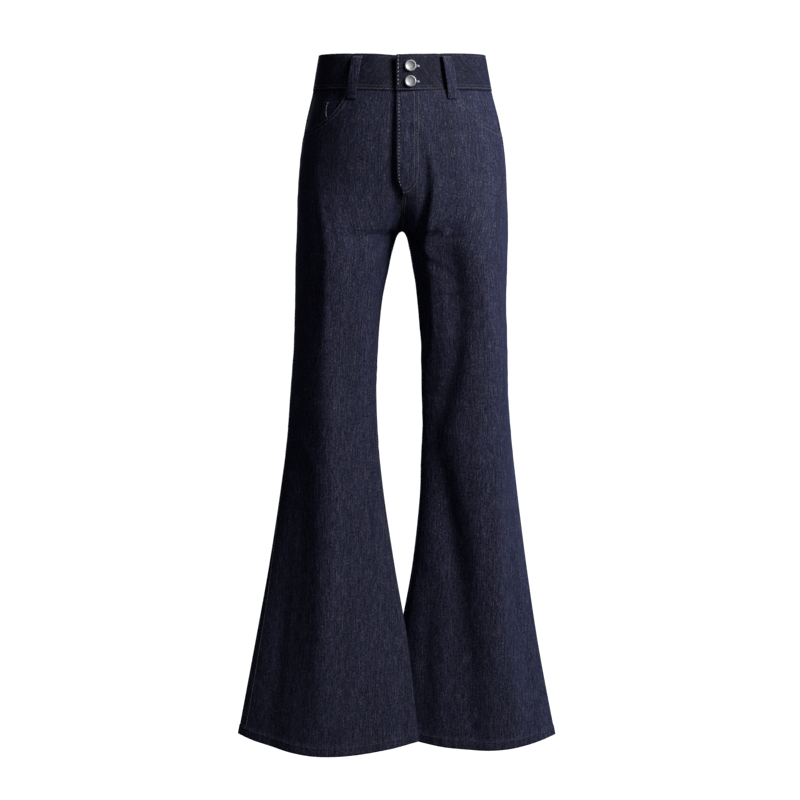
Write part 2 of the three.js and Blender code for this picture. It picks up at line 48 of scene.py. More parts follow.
# Cloth, seams and the main sizes of the form
CLOTH = 1.6
PATCH_CLOTH = 1.2
SEAM_GAP = 0.05
PATCH_GAP = 0.3
HEM = {"height": 15, "step": 1, "outward": 0.5, "inward": 0.9}
BAND = {"height": 51, "cloth": 3.0, "proud": 0.8, "overlap": 3.7, "sag": (6.5, 1.5), "sag_over": (10, 42)}
TOP_DIP = {"front": 4, "back": -5}
FLY_END = 200
FLY_DRAW_IN = (186, 195)
FLY = {"edge": 8, "under": 4, "lift": 2.1, "ramp": (8, 40), "settle": 12}
CROTCH = {"depth": 259, "y": 8, "front": 138, "back": 165, "power": 2.3, "spread": 301, "fade": 420}
HEM_LINE = {"right": (1026, 1034, 13), "left": (1033, 1032, 12)}
SECTIONS = np.array([
    [-12, 120.5, 120.5, 0, 0, 91, 91],
    [51, 131.5, 132.5, 0, 0, 98, 100],
    [100, 143, 145, 0, 0, 103, 110],
    [150, 151, 153, 0, 0, 105, 118],
    [200, 155, 156, 0, 0, 104, 122],
    [259, 157, 158, 10, 8, 99, 114],
    [301, 159, 157, 18, 15, 92, 102],
    [361, 160, 156, 30, 25, 82, 89],
    [421, 162, 158, 36, 32, 74, 78],
    [500, 168, 160, 39, 36, 66, 68],
    [573, 174, 166, 36, 32, 63, 66],
    [634, 182, 173, 30, 29, 62, 66],
    [757, 201, 189, 12, 17, 65, 67],
    [882, 224, 208, -9, -4, 74, 72],
    [1045, 255, 239, -27, -25, 86, 76],
], float)
COLUMN = {"outer_right": 1, "outer_left": 2, "inner_right": 3, "inner_left": 4, "front": 5, "back": 6}
LEAD = {"range": (300, 1000), "reach": 10}
LAP = {"range": (560, 1030), "reach": 14}
LEG_TURN = {"range": (130, 300), "oval_pull": 0.56, "leg_pull": 4 / 3}
LENS = {"range": (450, 960), "outer_lean": 0.36, "inner_lean": 0.4, "outer_pull": 1.0, "inner_pull": 0.8}

# The folds of the solids, then the smaller creases between them: from and to are a depth and a
# share across, bow how far the line bends aside half-way, width the half-width and swell the
# height, negative for a trough.
FOLDS = {
    ("right", "front"): [
        (160, 0.45, 1120, 0.45, 0.03, 26, 6), (240, 0.68, 1120, 0.7, 0, 30, -3),
        (520, 0.2, 1150, 0.2, 0, 26, -8),
    ],
    ("left", "front"): [
        (150, 0.66, 610, 0.9, -0.23, 22, -7), (530, 0.84, 1140, 0.54, -0.13, 28, -8),
        (380, 0.87, 1120, 0.87, 0, 22, 6), (300, 0.33, 1120, 0.25, 0, 30, 4),
    ],
    ("right", "back"): [
        (285, 0.5, 500, 0.85, 0, 22, -6), (560, 0.42, 1130, 0.4, 0, 28, -7),
        (420, 0.66, 1120, 0.7, 0, 30, 5),
    ],
    ("left", "back"): [
        (290, 0.46, 510, 0.82, 0, 22, -6), (540, 0.55, 1140, 0.62, 0, 26, -8),
        (430, 0.3, 1120, 0.28, 0, 30, 5),
    ],
}
CREASES = {
    ("right", "front"): [
        (224, 0.97, 300, 0.62, 0, 7, -2.0), (250, 0.93, 352, 0.5, 0, 9, 1.6),
        (272, 0.9, 392, 0.56, 0, 8, -1.4), (190, 0.53, 380, 0.58, 0, 11, -2.2),
        (500, 0.9, 592, 0.55, 0, 14, -1.6), (540, 0.16, 622, 0.42, 0, 12, 1.3),
        (620, 0.7, 1010, 0.74, 0, 16, 2.2), (700, 0.36, 1028, 0.38, 0, 13, -1.8),
        (640, 0.22, 1010, 0.25, 0, 10, 2.0), (170, 0.4, 480, 0.44, 0, 9, 3.2),
        (380, 0.46, 760, 0.5, 0, 13, 1.8), (40, 0.95, 236, 0.95, 0, 34, -4),
        (50, 0.93, 224, 0.935, 0, 9, -2.5), (470, 0.3, 1100, 0.3, 0, 28, -3.5),
    ],
    ("left", "front"): [
        (226, 0.96, 312, 0.58, 0, 8, 1.7), (246, 0.93, 338, 0.5, 0, 7, -2.1),
        (150, 0.86, 450, 0.94, -0.15, 9, -5), (150, 0.84, 520, 0.92, -0.17, 10, 5.5),
        (170, 0.66, 610, 0.9, -0.23, 20, -5), (530, 0.84, 880, 0.55, -0.04, 17, -3),
        (600, 0.76, 1120, 0.54, -0.1, 32, -4), (505, 0.14, 604, 0.4, 0, 12, -1.6),
        (640, 0.2, 1020, 0.14, 0, 16, -2.2), (760, 0.3, 1035, 0.28, 0, 14, 1.9),
        (760, 0.8, 1010, 0.77, 0, 10, -1.6), (330, 0.2, 610, 0.18, 0, 14, 1.2),
        (105, 0.885, 360, 0.74, -0.025, 8, -3.5), (105, 0.855, 360, 0.65, -0.03, 8, 3.5),
        (290, 0.9, 640, 0.94, -0.02, 16, 6), (560, 0.95, 1120, 0.955, 0, 12, 5),
        (66, 0.945, 206, 0.945, 0, 4, -1.5),
    ],
    ("right", "back"): [
        (262, 0.95, 330, 0.55, 0, 9, -2.6), (286, 0.9, 372, 0.44, 0, 9, 2.2),
        (318, 0.86, 430, 0.5, 0, 11, -1.8), (520, 0.14, 610, 0.5, 0, 13, -2.2),
        (556, 0.85, 648, 0.5, 0, 12, 1.8), (600, 0.2, 690, 0.44, 0, 12, -1.4),
        (700, 0.2, 1030, 0.18, 0, 18, -2.2), (790, 0.84, 1035, 0.86, 0, 14, 1.8),
        (840, 0.55, 1040, 0.54, 0, 13, 1.8),
    ],
    ("left", "back"): [
        (260, 0.95, 336, 0.5, 0, 8, 2.2), (280, 0.92, 360, 0.46, 0, 9, -2.6),
        (330, 0.84, 446, 0.46, 0, 12, -1.7), (512, 0.84, 600, 0.46, 0, 12, -2.0),
        (540, 0.16, 640, 0.5, 0, 13, 1.9), (618, 0.78, 700, 0.56, 0, 12, -1.3),
        (680, 0.84, 1030, 0.85, 0, 17, 2.0), (760, 0.14, 1032, 0.16, 0, 15, -2.0),
        (850, 0.44, 1040, 0.42, 0, 13, 1.7),
    ],
}
FOLD_CLEAR = {"side": 0.09, "inner": 0.1}
FOLD_FULLNESS = 0.8

# Pieces on and under the panels
SCOOP = {"across": 0.53, "drop": 61, "width": 165, "row_step": 12.5, "angles": (0, 18, 36, 52, 66, 78, 90)}
FACING = {"across": 0.64, "bottom": 128, "gap": 0.7, "flush_across": 0.1, "flush": (78, 100), "behind": 5}
COIN = {"top": 69, "outer": 0.32, "edge": 0.014, "foot": 0.03}
YOKE = {"side": 86, "centre": 112}
BACK_POCKET = {"from": 50, "width": 122, "taper": 6, "point": 14, "rows": 6}
LOOP = {"width": 13, "cloth": 1.8, "top": 3, "bottom": 64}
LOOP_BOW = {"height": 3.4, "end": 0.9, "power": 0.7, "settle": (0.84, 0.96)}
LOOP_DENT = {"depth": 2.6, "off": 2.6, "width": 3.4}
LOOP_RELIEF = {"crown": 0.35, "drag": 0.4, "fold": 0.5}
LOOP_ROWS = {"off": 3.9, "bars": (0.045, 0.945), "bar": (10, 2.2, 12)}
LOOPS = {
    "front_right": ("right", "front", 63, 72.5),
    "front_left": ("left", "front", 63, 72.5),
    "back_right": ("right", "back", 76, 82),
    "back_left": ("left", "back", 76, 82),
    "back_centre": ("left", "back", 0, 0),
}
BUTTON = {"x": 11.5, "radius": 8.5, "height": 4.0, "depths": {"upper": 20, "lower": 42}}
ROW_TURN = 0.78
HIP_ROWS = np.array([
    [131, 138, 143], [151, 158, 162], [171, 178, 181], [191, 198, 196], [211, 218, 212], [231, 237, 229],
    [250, 256, 243], [268, 271, 252], [284, 284, 257], [299, 296, 259], [314, 309, 261.5], [330, 324, 268],
    [348, 342, 281], [370, 365, 304], [395, 392, 340], [425, 424, 388],
], float)
LEG_ROWS = (465, 510, 565, 625, 690, 757, 825, 890, 955, 998)
HEM_BEND = {"range": (757, 1015), "length": 1030}
SCOOP_TOP = BAND["height"] + SEAM_GAP
LEGS = ("right", "left")
SIDE = {"right": -1, "left": 1}
WAY = {"front": -1, "back": 1}


# The form

def mix(a, b, t):
    return a + (b - a) * t


def smooth(x, low, high):
    t = np.clip((np.asarray(x, float) - low) / (high - low), 0, 1)
    return t * t * (3 - 2 * t)


def section_size(column, depth):
    """A smooth curve through one column of the sections, level where the column turns."""
    at, size = SECTIONS[:, 0], SECTIONS[:, COLUMN[column]]
    chord = np.diff(size) / np.diff(at)
    before, after = chord[:-1], chord[1:]
    same_way = before * after > 0
    total = np.where(same_way, before + after, 1)
    slope = np.concatenate([chord[:1], np.where(same_way, 2 * before * after / total, 0), chord[-1:]])
    k = np.clip(np.searchsorted(at, depth, side="right") - 1, 0, len(at) - 2)
    span = at[k + 1] - at[k]
    t = np.clip((depth - at[k]) / span, 0, 1)
    ends = size[k] * (1 + 2 * t) * (1 - t) ** 2 + size[k + 1] * t * t * (3 - 2 * t)
    return ends + span * (slope[k] * t * (1 - t) ** 2 - slope[k + 1] * t * t * (1 - t))


def centre_seam(face, depth):
    """Where the centre seam lies, front to back, as it curves under to the crotch."""
    start = CROTCH[face]
    fallen = np.clip((depth - start) / (CROTCH["depth"] - start), 0, 1)
    share = (1 - fallen ** CROTCH["power"]) ** (1 / CROTCH["power"])
    return mix(CROTCH["y"], WAY[face] * section_size(face, depth), share)


def section_curve(leg, face, depth):
    """The handles of a half-section, and the bend of its last stretch to the seam's own point."""
    side, way = SIDE[leg], WAY[face]
    reach = section_size(face, depth)
    turned, lens = smooth(depth, *LEG_TURN["range"]), smooth(depth, *LENS["range"])
    lead = side * LEAD["reach"] * smooth(depth, *LEAD["range"])
    lap = side * LAP["reach"] * smooth(depth, *LAP["range"])
    outer, inner = section_size("outer_" + leg, depth), section_size("inner_" + leg, depth)
    width = outer - inner
    inseam_y = CROTCH["y"] * (1 - smooth(depth, CROTCH["depth"], CROTCH["fade"])) + lead + lap
    crown = lead + way * reach
    inner_y = mix(crown, inseam_y, turned)
    outer_pull = mix(mix(LEG_TURN["oval_pull"], LEG_TURN["leg_pull"], turned), LENS["outer_pull"], lens)
    handles = np.array([
        [outer, lead],
        [outer - LENS["outer_lean"] * lens * width, lead + way * reach * outer_pull],
        [
            inner + width * (LENS["inner_lean"] * lens + LEG_TURN["oval_pull"] * (1 - turned)),
            mix(crown - (inner_y - crown) / 3, inner_y + way * reach * LENS["inner_pull"], lens),
        ],
        [inner, inner_y],
    ])
    opened = np.maximum(depth - CROTCH["depth"], 0) / (CROTCH["spread"] - CROTCH["depth"])
    spread = section_size("inner_" + leg, np.full_like(depth, CROTCH["spread"])) * np.sqrt(opened)
    seam_x = np.where(depth < CROTCH["spread"], spread, inner)
    above = depth <= CROTCH["depth"]
    seam_y = np.where(above, centre_seam(face, depth), inseam_y)
    return handles, np.array([np.where(above, 0, seam_x) - inner, seam_y - inner_y])


SECTION_STEPS = 64
BEND_POWER = 5


def half_section(leg, face, depth):
    """The points of the half-sections at these depths, and the length up to each."""
    handles, bend = section_curve(leg, face, depth)
    t = np.linspace(0, 1, SECTION_STEPS + 1)
    weights = np.array([(1 - t) ** 3, 3 * t * (1 - t) ** 2, 3 * t * t * (1 - t), t ** 3])
    plain = np.einsum("kan,kt->nta", handles, weights)
    steps = np.linalg.norm(np.diff(plain, axis=1), axis=2)
    along = np.concatenate([np.zeros((len(depth), 1)), np.cumsum(steps, axis=1)], axis=1)
    points = plain + bend.T[:, None, :] * (t ** BEND_POWER)[None, :, None]
    points[:, :, 0] *= SIDE[leg]
    return points, along


LENGTH_DEPTHS = np.arange(-20, 1080, 4.0)
LENGTHS = {(leg, face): half_section(leg, face, LENGTH_DEPTHS)[1][:, -1] for leg in LEGS for face in WAY}


def half_length(leg, face, depth):
    """The whole way across a half-section, along the cloth."""
    return np.interp(depth, LENGTH_DEPTHS, LENGTHS[leg, face])


def bare(leg, face, depth, across):
    """Points of the smooth form. Past 1, a section goes on across the centre plane."""
    points, along = half_section(leg, face, depth)
    target = np.where(across > 1, 2 - across, across) * along[:, -1]
    i = np.clip((along <= target[:, None]).sum(axis=1), 1, SECTION_STEPS)
    n = np.arange(len(depth))
    t = (target - along[n, i - 1]) / (along[n, i] - along[n, i - 1])
    at = mix(points[n, i - 1], points[n, i], t[:, None])
    return np.stack([np.where(across > 1, -at[:, 0], at[:, 0]), at[:, 1], -depth], axis=1)


NORMAL_STEP = {"across": 0.004, "depth": 0.6}


def outward(leg, face, depth, across):
    step = NORMAL_STEP["across"]
    at_seam = (across >= 1) & (across < 1 + step)
    low = np.where(at_seam, 1 - 2 * step, np.maximum(across - step, 0))
    high = np.where(at_seam, 1, across + step)
    u = bare(leg, face, depth, high) - bare(leg, face, depth, low)
    down = NORMAL_STEP["depth"]
    v = bare(leg, face, depth + down, across) - bare(leg, face, depth - down, across)
    normal = np.cross(u, v)
    normal /= np.linalg.norm(normal, axis=1)[:, None]
    return -normal if (leg == "right") == (face == "front") else normal


def fold_sum(folds, leg, face, depth, across):
    length = half_length(leg, face, depth)
    total = np.zeros_like(depth)
    for from_depth, from_across, to_depth, to_across, bow, width, swell in folds[leg, face]:
        t = (depth - from_depth) / (to_depth - from_depth)
        inside = (t > 0) & (t < 1)
        arch = np.sin(np.pi * np.clip(t, 0, 1))
        rise = arch ** FOLD_FULLNESS
        off = (across - mix(from_across, to_across, t) - bow * arch) * length / width
        total += np.where(inside, swell * rise * np.exp(-off * off), 0)
    return total


NOISE_SEED = 7
CELLS = 256
LATTICE = np.random.default_rng(NOISE_SEED).random((CELLS + 1, CELLS + 1))


def noise(u, v):
    """Smooth values from 0 to 1 that repeat after all the cells."""
    iu, iv = np.floor(u).astype(int), np.floor(v).astype(int)
    fu, fv = smooth(u - iu, 0, 1), smooth(v - iv, 0, 1)
    left, right, low, high = iu % CELLS, (iu + 1) % CELLS, iv % CELLS, (iv + 1) % CELLS
    lower = mix(LATTICE[left, low], LATTICE[right, low], fu)
    return mix(lower, mix(LATTICE[left, high], LATTICE[right, high], fu), fv)


def hem_depth(leg, across):
    side, inner, bow = HEM_LINE[leg]
    return mix(side, inner, across) + bow * np.sin(np.pi * np.clip(across, 0, 1))


def band_top(face, across):
    return TOP_DIP[face] * np.minimum(across, 1) ** 2


def band_seam(face, across):
    return band_top(face, across) + BAND["height"]


def yoke_seam(across):
    return mix(YOKE["side"], YOKE["centre"], across)


def scoop_across(depth):
    fallen = np.clip((depth - SCOOP_TOP) / SCOOP["drop"], 0, 1)
    return SCOOP["across"] * np.sqrt(1 - fallen ** 2)


# Small relief: puckers beside the seams, felled ridges, the pocket's gape and the hem's roping
PUCKER = {"pitch": 8.5, "height": 0.75, "off": 6, "spread": 5.5, "slant": 0.7, "patch": 55}
PUCKER_START = {"side": (70, 120), "inner": (205, 240)}
FELL = {"width": 12, "rise": 0.55, "start": (4, 20)}
GAPE = {"height": 1.5, "spread": 13}
ROPING = {"pitch": 9.5, "height": 0.42, "slant": 0.8, "waver": 1.4, "cell": 23}
MOTTLE = ((34, 2.2, 0.9, 13), (11, 2, 0.26, 29))  # cell, its length, height and shift of each size
MOTTLE_START = (60, 110)


def bell(distance, centre, spread):
    return np.exp(-(((distance - centre) / spread) ** 2))


def puckers(distance, along, seed):
    """Short slanting ripples beside a seam, none of them alike."""
    place = (along + PUCKER["slant"] * distance) / PUCKER["pitch"]
    ripple = noise(place + 31.7 * seed, np.full_like(place, 3.3 * seed)) - 0.5
    patches = noise(along / PUCKER["patch"] + 9.1 * seed, np.full_like(place, 7.7 * seed))
    strength = PUCKER["height"] * (0.35 + 0.65 * patches)
    return strength * 2 * ripple * bell(distance, PUCKER["off"], PUCKER["spread"])


def relief(leg, face, depth, across, own=True):
    """How far the dressed cloth stands off the smooth form, folds included."""
    length = half_length(leg, face, depth)
    clear = smooth(across, 0, FOLD_CLEAR["side"]) * (1 - smooth(across, 1 - FOLD_CLEAR["inner"], 1))
    level = fold_sum(FOLDS, leg, face, depth, across) * clear
    if not own:
        return level
    level += fold_sum(CREASES, leg, face, depth, across) * np.sqrt(clear)
    seed = 1 + LEGS.index(leg) * 2 + (face == "back")
    off_side, off_inner = across * length, (1 - across) * length
    for cell, longer, height, shift in MOTTLE:
        cloud = noise(off_side / cell + seed * shift, depth / (cell * longer)) - 0.5
        level += height * 2 * cloud * clear * smooth(depth, *MOTTLE_START)
    for off, shift, start in ((off_side, 0, "side"), (off_inner, 5, "inner")):
        level += puckers(off, depth, seed + shift) * smooth(off, 0, 3) * smooth(depth, *PUCKER_START[start])
    if face == "front":
        felled = smooth(off_inner, 0, 1.6) * (1 - smooth(off_inner, FELL["width"] - 1, FELL["width"] + 1.2))
        level += FELL["rise"] * felled * smooth(depth - CROTCH["depth"], *FELL["start"])
    above_hem = hem_depth(leg, across) - depth
    waver = ROPING["waver"] * noise(off_side / ROPING["cell"] + seed, np.full_like(depth, 0.5))
    rope = np.cos(2 * np.pi * ((off_side + ROPING["slant"] * above_hem) / ROPING["pitch"] + waver))
    in_hem = smooth(above_hem, 0, 4) * (1 - smooth(above_hem, HEM["height"] - 2, HEM["height"] + 5))
    level += ROPING["height"] * rope * in_hem * smooth(off_side, 0, 6) * smooth(off_inner, 0, 6)
    return level


def gape(depth, across):
    """The front panel's pocket edge stands a little off the facing."""
    fallen = np.clip((depth - SCOOP_TOP) / SCOOP["drop"], 0, 1)
    turn = np.arcsin(fallen) / (np.pi / 2)
    off = np.abs(across - scoop_across(depth)) * SCOOP["width"]
    below = np.maximum(depth - SCOOP_TOP - SCOOP["drop"], 0)
    return GAPE["height"] * np.sin(np.pi * turn) * bell(off + below, 0, GAPE["spread"])


LEAST_SHARE = 0.4


def on_cloth(leg, face, depth, across, lift, own=True):
    """Points at a lift from the cloth's outer face. Along a seam they move in the seam's plane."""
    depth, across, lift = (np.array(x, float) for x in np.broadcast_arrays(depth, across, lift))
    form = depth.shape
    depth, across, lift = depth.ravel(), across.ravel(), lift.ravel()
    point, normal = bare(leg, face, depth, across), outward(leg, face, depth, across)
    side, apart = SIDE[leg], WAY[face] * SEAM_GAP / 2
    level = lift + relief(leg, face, depth, across, own)
    move = normal * level[:, None]
    at_side, at_inner = across == 0, across == 1
    move[at_side] = 0
    move[at_side, 0] = level[at_side] * side / np.maximum(np.abs(normal[at_side, 0]), LEAST_SHARE)
    move[at_side, 1] += apart
    seam = np.tile([0.0, 0.0, -1.0], (len(depth), 1))
    high, low = depth < CROTCH["depth"], depth > CROTCH["depth"]
    seam[high] = normal[high] * [0, 1, 1]
    seam[low] = normal[low] * [1, 0, 1]
    size = np.linalg.norm(seam, axis=1)
    along_seam = seam / size[:, None] * (level / np.maximum(size, LEAST_SHARE))[:, None]
    along_seam[:, 0] += np.where(depth <= CROTCH["depth"], side * SEAM_GAP / 2, 0)
    along_seam[:, 1] += np.where(depth >= CROTCH["depth"], apart, 0)
    move[at_inner] = along_seam[at_inner]
    return (point + move).reshape(*form, 3)


HALVINGS = 26


def across_at(leg, face, depth, distance):
    """Share of a half-section at which it is a given distance from the centre plane."""
    depth, distance = (np.array(x, float) for x in np.broadcast_arrays(depth, distance))
    low, high = np.zeros(depth.size), np.ones(depth.size)
    flat_depth, flat_distance = depth.ravel(), distance.ravel()
    for _ in range(HALVINGS):
        middle = (low + high) / 2
        further = np.abs(bare(leg, face, flat_depth, middle)[:, 0]) > flat_distance
        low, high = np.where(further, middle, low), np.where(further, high, middle)
    return low.reshape(depth.shape)


def fly_edge(leg, depth):
    share = 1 - smooth(depth, *FLY_DRAW_IN)
    beyond = FLY["edge"] if leg == "left" else FLY["under"]
    return 1 + beyond * share / half_length(leg, "front", depth)


def to_centre(leg, depth, across):
    return (1 - across) * half_length(leg, "front", depth)


def on_top(leg, depth, across):
    if leg == "right":
        return np.zeros_like(depth)
    return 1 - smooth(to_centre(leg, depth, across), *FLY["ramp"])


def fly_lift(leg, depth, across):
    return FLY["lift"] * on_top(leg, depth, across) * (1 - smooth(depth, FLY_END, FLY_END + FLY["settle"]))


def loop_dent(leg, depth, across):
    """The band sinks a little beside its front belt loop, on the side away from the light."""
    x = np.abs(bare(leg, "front", depth.ravel(), across.ravel())[:, 0]).reshape(depth.shape)
    _, _, top, bottom = LOOPS["front_" + leg]
    aside = -SIDE[leg] * (LOOP["width"] / 2 + LOOP_DENT["off"])
    return LOOP_DENT["depth"] * bell(x, mix(top, bottom, depth / LOOP["bottom"]) + aside, LOOP_DENT["width"])


def band_lift(leg, depth, across):
    """The left front's band laps over the right one, which sinks as it passes under."""
    lift = BAND["proud"] + BAND["overlap"] * on_top(leg, depth, across) - loop_dent(leg, depth, across)
    if leg == "right":
        sag = mix(*BAND["sag"], np.clip(depth / BAND["height"], 0, 1))
        lift = lift - sag * (1 - smooth(to_centre(leg, depth, across), *BAND["sag_over"]))
    return lift


# Grids on the form

COLUMNS = 84
EDGE_CROWD = 0.5  # crowds a panel's columns towards its two seams


def crowded(count, crowd=EDGE_CROWD):
    t = np.linspace(0, 1, count + 1)
    return t - crowd * np.sin(2 * np.pi * t) / (2 * np.pi)


def row_depth(row, share, turn=ROW_TURN):
    first, second, third = row
    after = mix(second, third, (share - turn) / (1 - turn))
    return np.where(share < turn, mix(first, second, share / turn), after)


def hung(leg, depth, across):
    return depth + (hem_depth(leg, across) - HEM_BEND["length"]) * smooth(depth, *HEM_BEND["range"])


def pair(depth, across):
    return np.stack(np.broadcast_arrays(depth, across), axis=-1)


def between(rows, step):
    """The rows with more of them between, about a step apart in depth."""
    found = [rows[0][None]]
    for a, b in zip(rows[:-1], rows[1:]):
        count = max(1, round(float(np.abs(b[..., 0] - a[..., 0]).mean()) / step))
        found.append(np.array([mix(a, b, k / count) for k in range(1, count + 1)]))
    return np.concatenate(found)


ROW_STEP = 4.0
HEM_STEP = 2.5
SCOOP_ROWS = 25


def lower_rows(leg, face, share):
    """Depth and share across, row by row, from the hips to the hem."""
    rows = []
    for row in HIP_ROWS:
        depth = row_depth(row, share)
        edge = fly_edge(leg, depth) if face == "front" else np.ones_like(depth)
        across = share * np.where(depth < CROTCH["depth"], edge, 1)
        rows.append(pair(hung(leg, depth, across), across))
    rows += [pair(hung(leg, depth, share), share) for depth in LEG_ROWS]
    hem = hem_depth(leg, share)
    fold, half_step = hem - HEM["height"], HEM["step"] / 2
    rows.append(pair(fold - half_step, share))
    doubled = between([pair(fold + half_step, share), pair(hem, share)], HEM_STEP)
    return np.concatenate([between(rows, ROW_STEP), doubled]), len(doubled)


def front_rows(leg):
    share = crowded(COLUMNS)
    count = len(SCOOP["angles"])
    rows = []
    for step in np.linspace(0, count - 1, SCOOP_ROWS):
        angle = np.radians(np.interp(step, range(count), SCOOP["angles"]))
        outer = SCOOP_TOP + SCOOP["drop"] * np.sin(angle)
        inner = SCOOP_TOP + TOP_DIP["front"] + SCOOP["row_step"] * step
        depth = mix(outer, inner, share)
        across = mix(scoop_across(outer), fly_edge(leg, depth), share)
        if step == 0:
            depth = band_seam("front", across) + SEAM_GAP
        rows.append(pair(depth, across))
    lower, hem_count = lower_rows(leg, "front", share)
    upper = np.array(rows)
    joined = between([upper[-1], lower[0]], ROW_STEP)[1:-1]
    return np.concatenate([upper, joined, lower]), hem_count


def back_rows(leg):
    share = crowded(COLUMNS)
    first = pair(yoke_seam(share) + SEAM_GAP, share)
    lower, hem_count = lower_rows(leg, "back", share)
    joined = between([first, lower[0]], ROW_STEP)[:-1]
    return np.concatenate([joined, lower]), hem_count


# Meshes

def new_object(name, points, faces, material, uses=None, weave=None):
    mesh = bpy.data.meshes.new(name)
    mesh.from_pydata((np.asarray(points) * MM).tolist(), [], faces)
    mesh.update()
    for m in material if isinstance(material, (list, tuple)) else [material]:
        mesh.materials.append(m)
    mesh.polygons.foreach_set("use_smooth", np.ones(len(mesh.polygons), bool))
    if uses is not None:
        mesh.polygons.foreach_set("material_index", uses)
    if weave is not None:
        layer = mesh.uv_layers.new(name="weave")
        corner = np.zeros(len(mesh.loops), np.int32)
        mesh.loops.foreach_get("vertex_index", corner)
        layer.uv.foreach_set("vector", (np.asarray(weave)[corner] * MM).astype(np.float32).ravel())
    obj = bpy.data.objects.new(name, mesh)
    bpy.context.scene.collection.objects.link(obj)
    return obj


def shell(name, outer, inner, weave, materials, edges=(0, 0, 0, 0)):
    """A closed wall between two grids. edges: how far its top, right, bottom and left rims bulge."""
    rows, columns = outer.shape[0] - 1, outer.shape[1] - 1
    count = (rows + 1) * (columns + 1)
    number = np.arange(count).reshape(rows + 1, columns + 1)
    a, b, c, d = number[:-1, :-1], number[:-1, 1:], number[1:, 1:], number[1:, :-1]
    top = np.stack([a, b, c, d], axis=-1).reshape(-1, 4)
    under = np.stack([a, d, c, b], axis=-1).reshape(-1, 4) + count
    rim = np.concatenate([number[0, :-1], number[:-1, -1], number[-1, :0:-1], number[:0:-1, 0]])
    inward = np.concatenate([number[1, :-1], number[:-1, -2], number[-2, :0:-1], number[:0:-1, 1]])
    push = np.repeat(np.array(edges, float), (columns, rows, columns, rows))
    for k, corner in enumerate((0, columns, columns + rows, 2 * columns + rows)):
        push[corner] = min(edges[k - 1], edges[k])
    flat_outer, flat_inner = outer.reshape(-1, 3), inner.reshape(-1, 3)
    way = flat_outer[rim] - flat_outer[inward]
    way /= np.maximum(np.linalg.norm(way, axis=1), 1e-9)[:, None]
    middle = (flat_outer[rim] + flat_inner[rim]) / 2 + way * push[:, None]
    points = np.concatenate([flat_outer, flat_inner, middle])
    ring = np.arange(len(rim)) + 2 * count
    after = np.roll(np.arange(len(rim)), -1)
    faces = np.concatenate([
        top, under,
        np.stack([rim[after], rim, ring, ring[after]], axis=-1),
        np.stack([ring[after], ring, rim + count, rim[after] + count], axis=-1),
    ])
    tri = points[faces[:, :3]]
    if np.einsum("ni,ni->", tri[:, 0], np.cross(tri[:, 1], tri[:, 2])) < 0:
        faces = faces[:, ::-1]
    uses = np.zeros(len(faces), np.int32)
    uses[len(top):len(top) + len(under)] = len(materials) - 1
    flat = weave.reshape(-1, 2)
    return new_object(name, points, faces.tolist(), materials, uses, np.concatenate([flat, flat, flat[rim]]))


def revolved(profile, sides):
    """Rings about Z through a profile's radii and heights, and the four-sided faces between them."""
    turn = 2 * np.pi * np.arange(sides) / sides
    points = [(r * math.cos(a), r * math.sin(a), z) for r, z in profile for a in turn]
    faces = []
    for ring in range(len(profile) - 1):
        for k in range(sides):
            a, b = ring * sides + k, ring * sides + (k + 1) % sides
            faces.append([a, b, b + sides, a + sides])
    return np.array(points), faces


def fan(middle, first, sides):
    """Triangles from a middle point to a ring that starts at another one."""
    return [[middle, first + (k + 1) % sides, first + k] for k in range(sides)]


WEAVE_SHIFT = {"right": 0, "left": 700, "front": 0, "back": 350}


def grain(leg, face, depth, across):
    """Places on the cut cloth: along the weft from the panel's middle, and down the warp."""
    shift = WEAVE_SHIFT[leg] + WEAVE_SHIFT[face]
    return np.stack([(across - 0.5) * half_length(leg, face, depth) + shift, -depth], axis=-1)


def piece(obj, slot, *nodes):
    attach(obj, "root")
    if nodes:
        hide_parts(*nodes)
    return obj


def cloth(obj, cut, held, rests_on, *nodes):
    """A sheet of denim in place of its solid."""
    piece(obj, "denim", *nodes)


def cut_piece(name, place, lifts, faces, rims, sheet, node, own=True):
    """A sheet whose outer and inner faces are at two lifts from the form."""
    outer, inner = (on_cloth(*place, lift, own) for lift in lifts)
    cloth(shell(name, outer, inner, grain(*place), faces, rims), *sheet, node)


# Materials

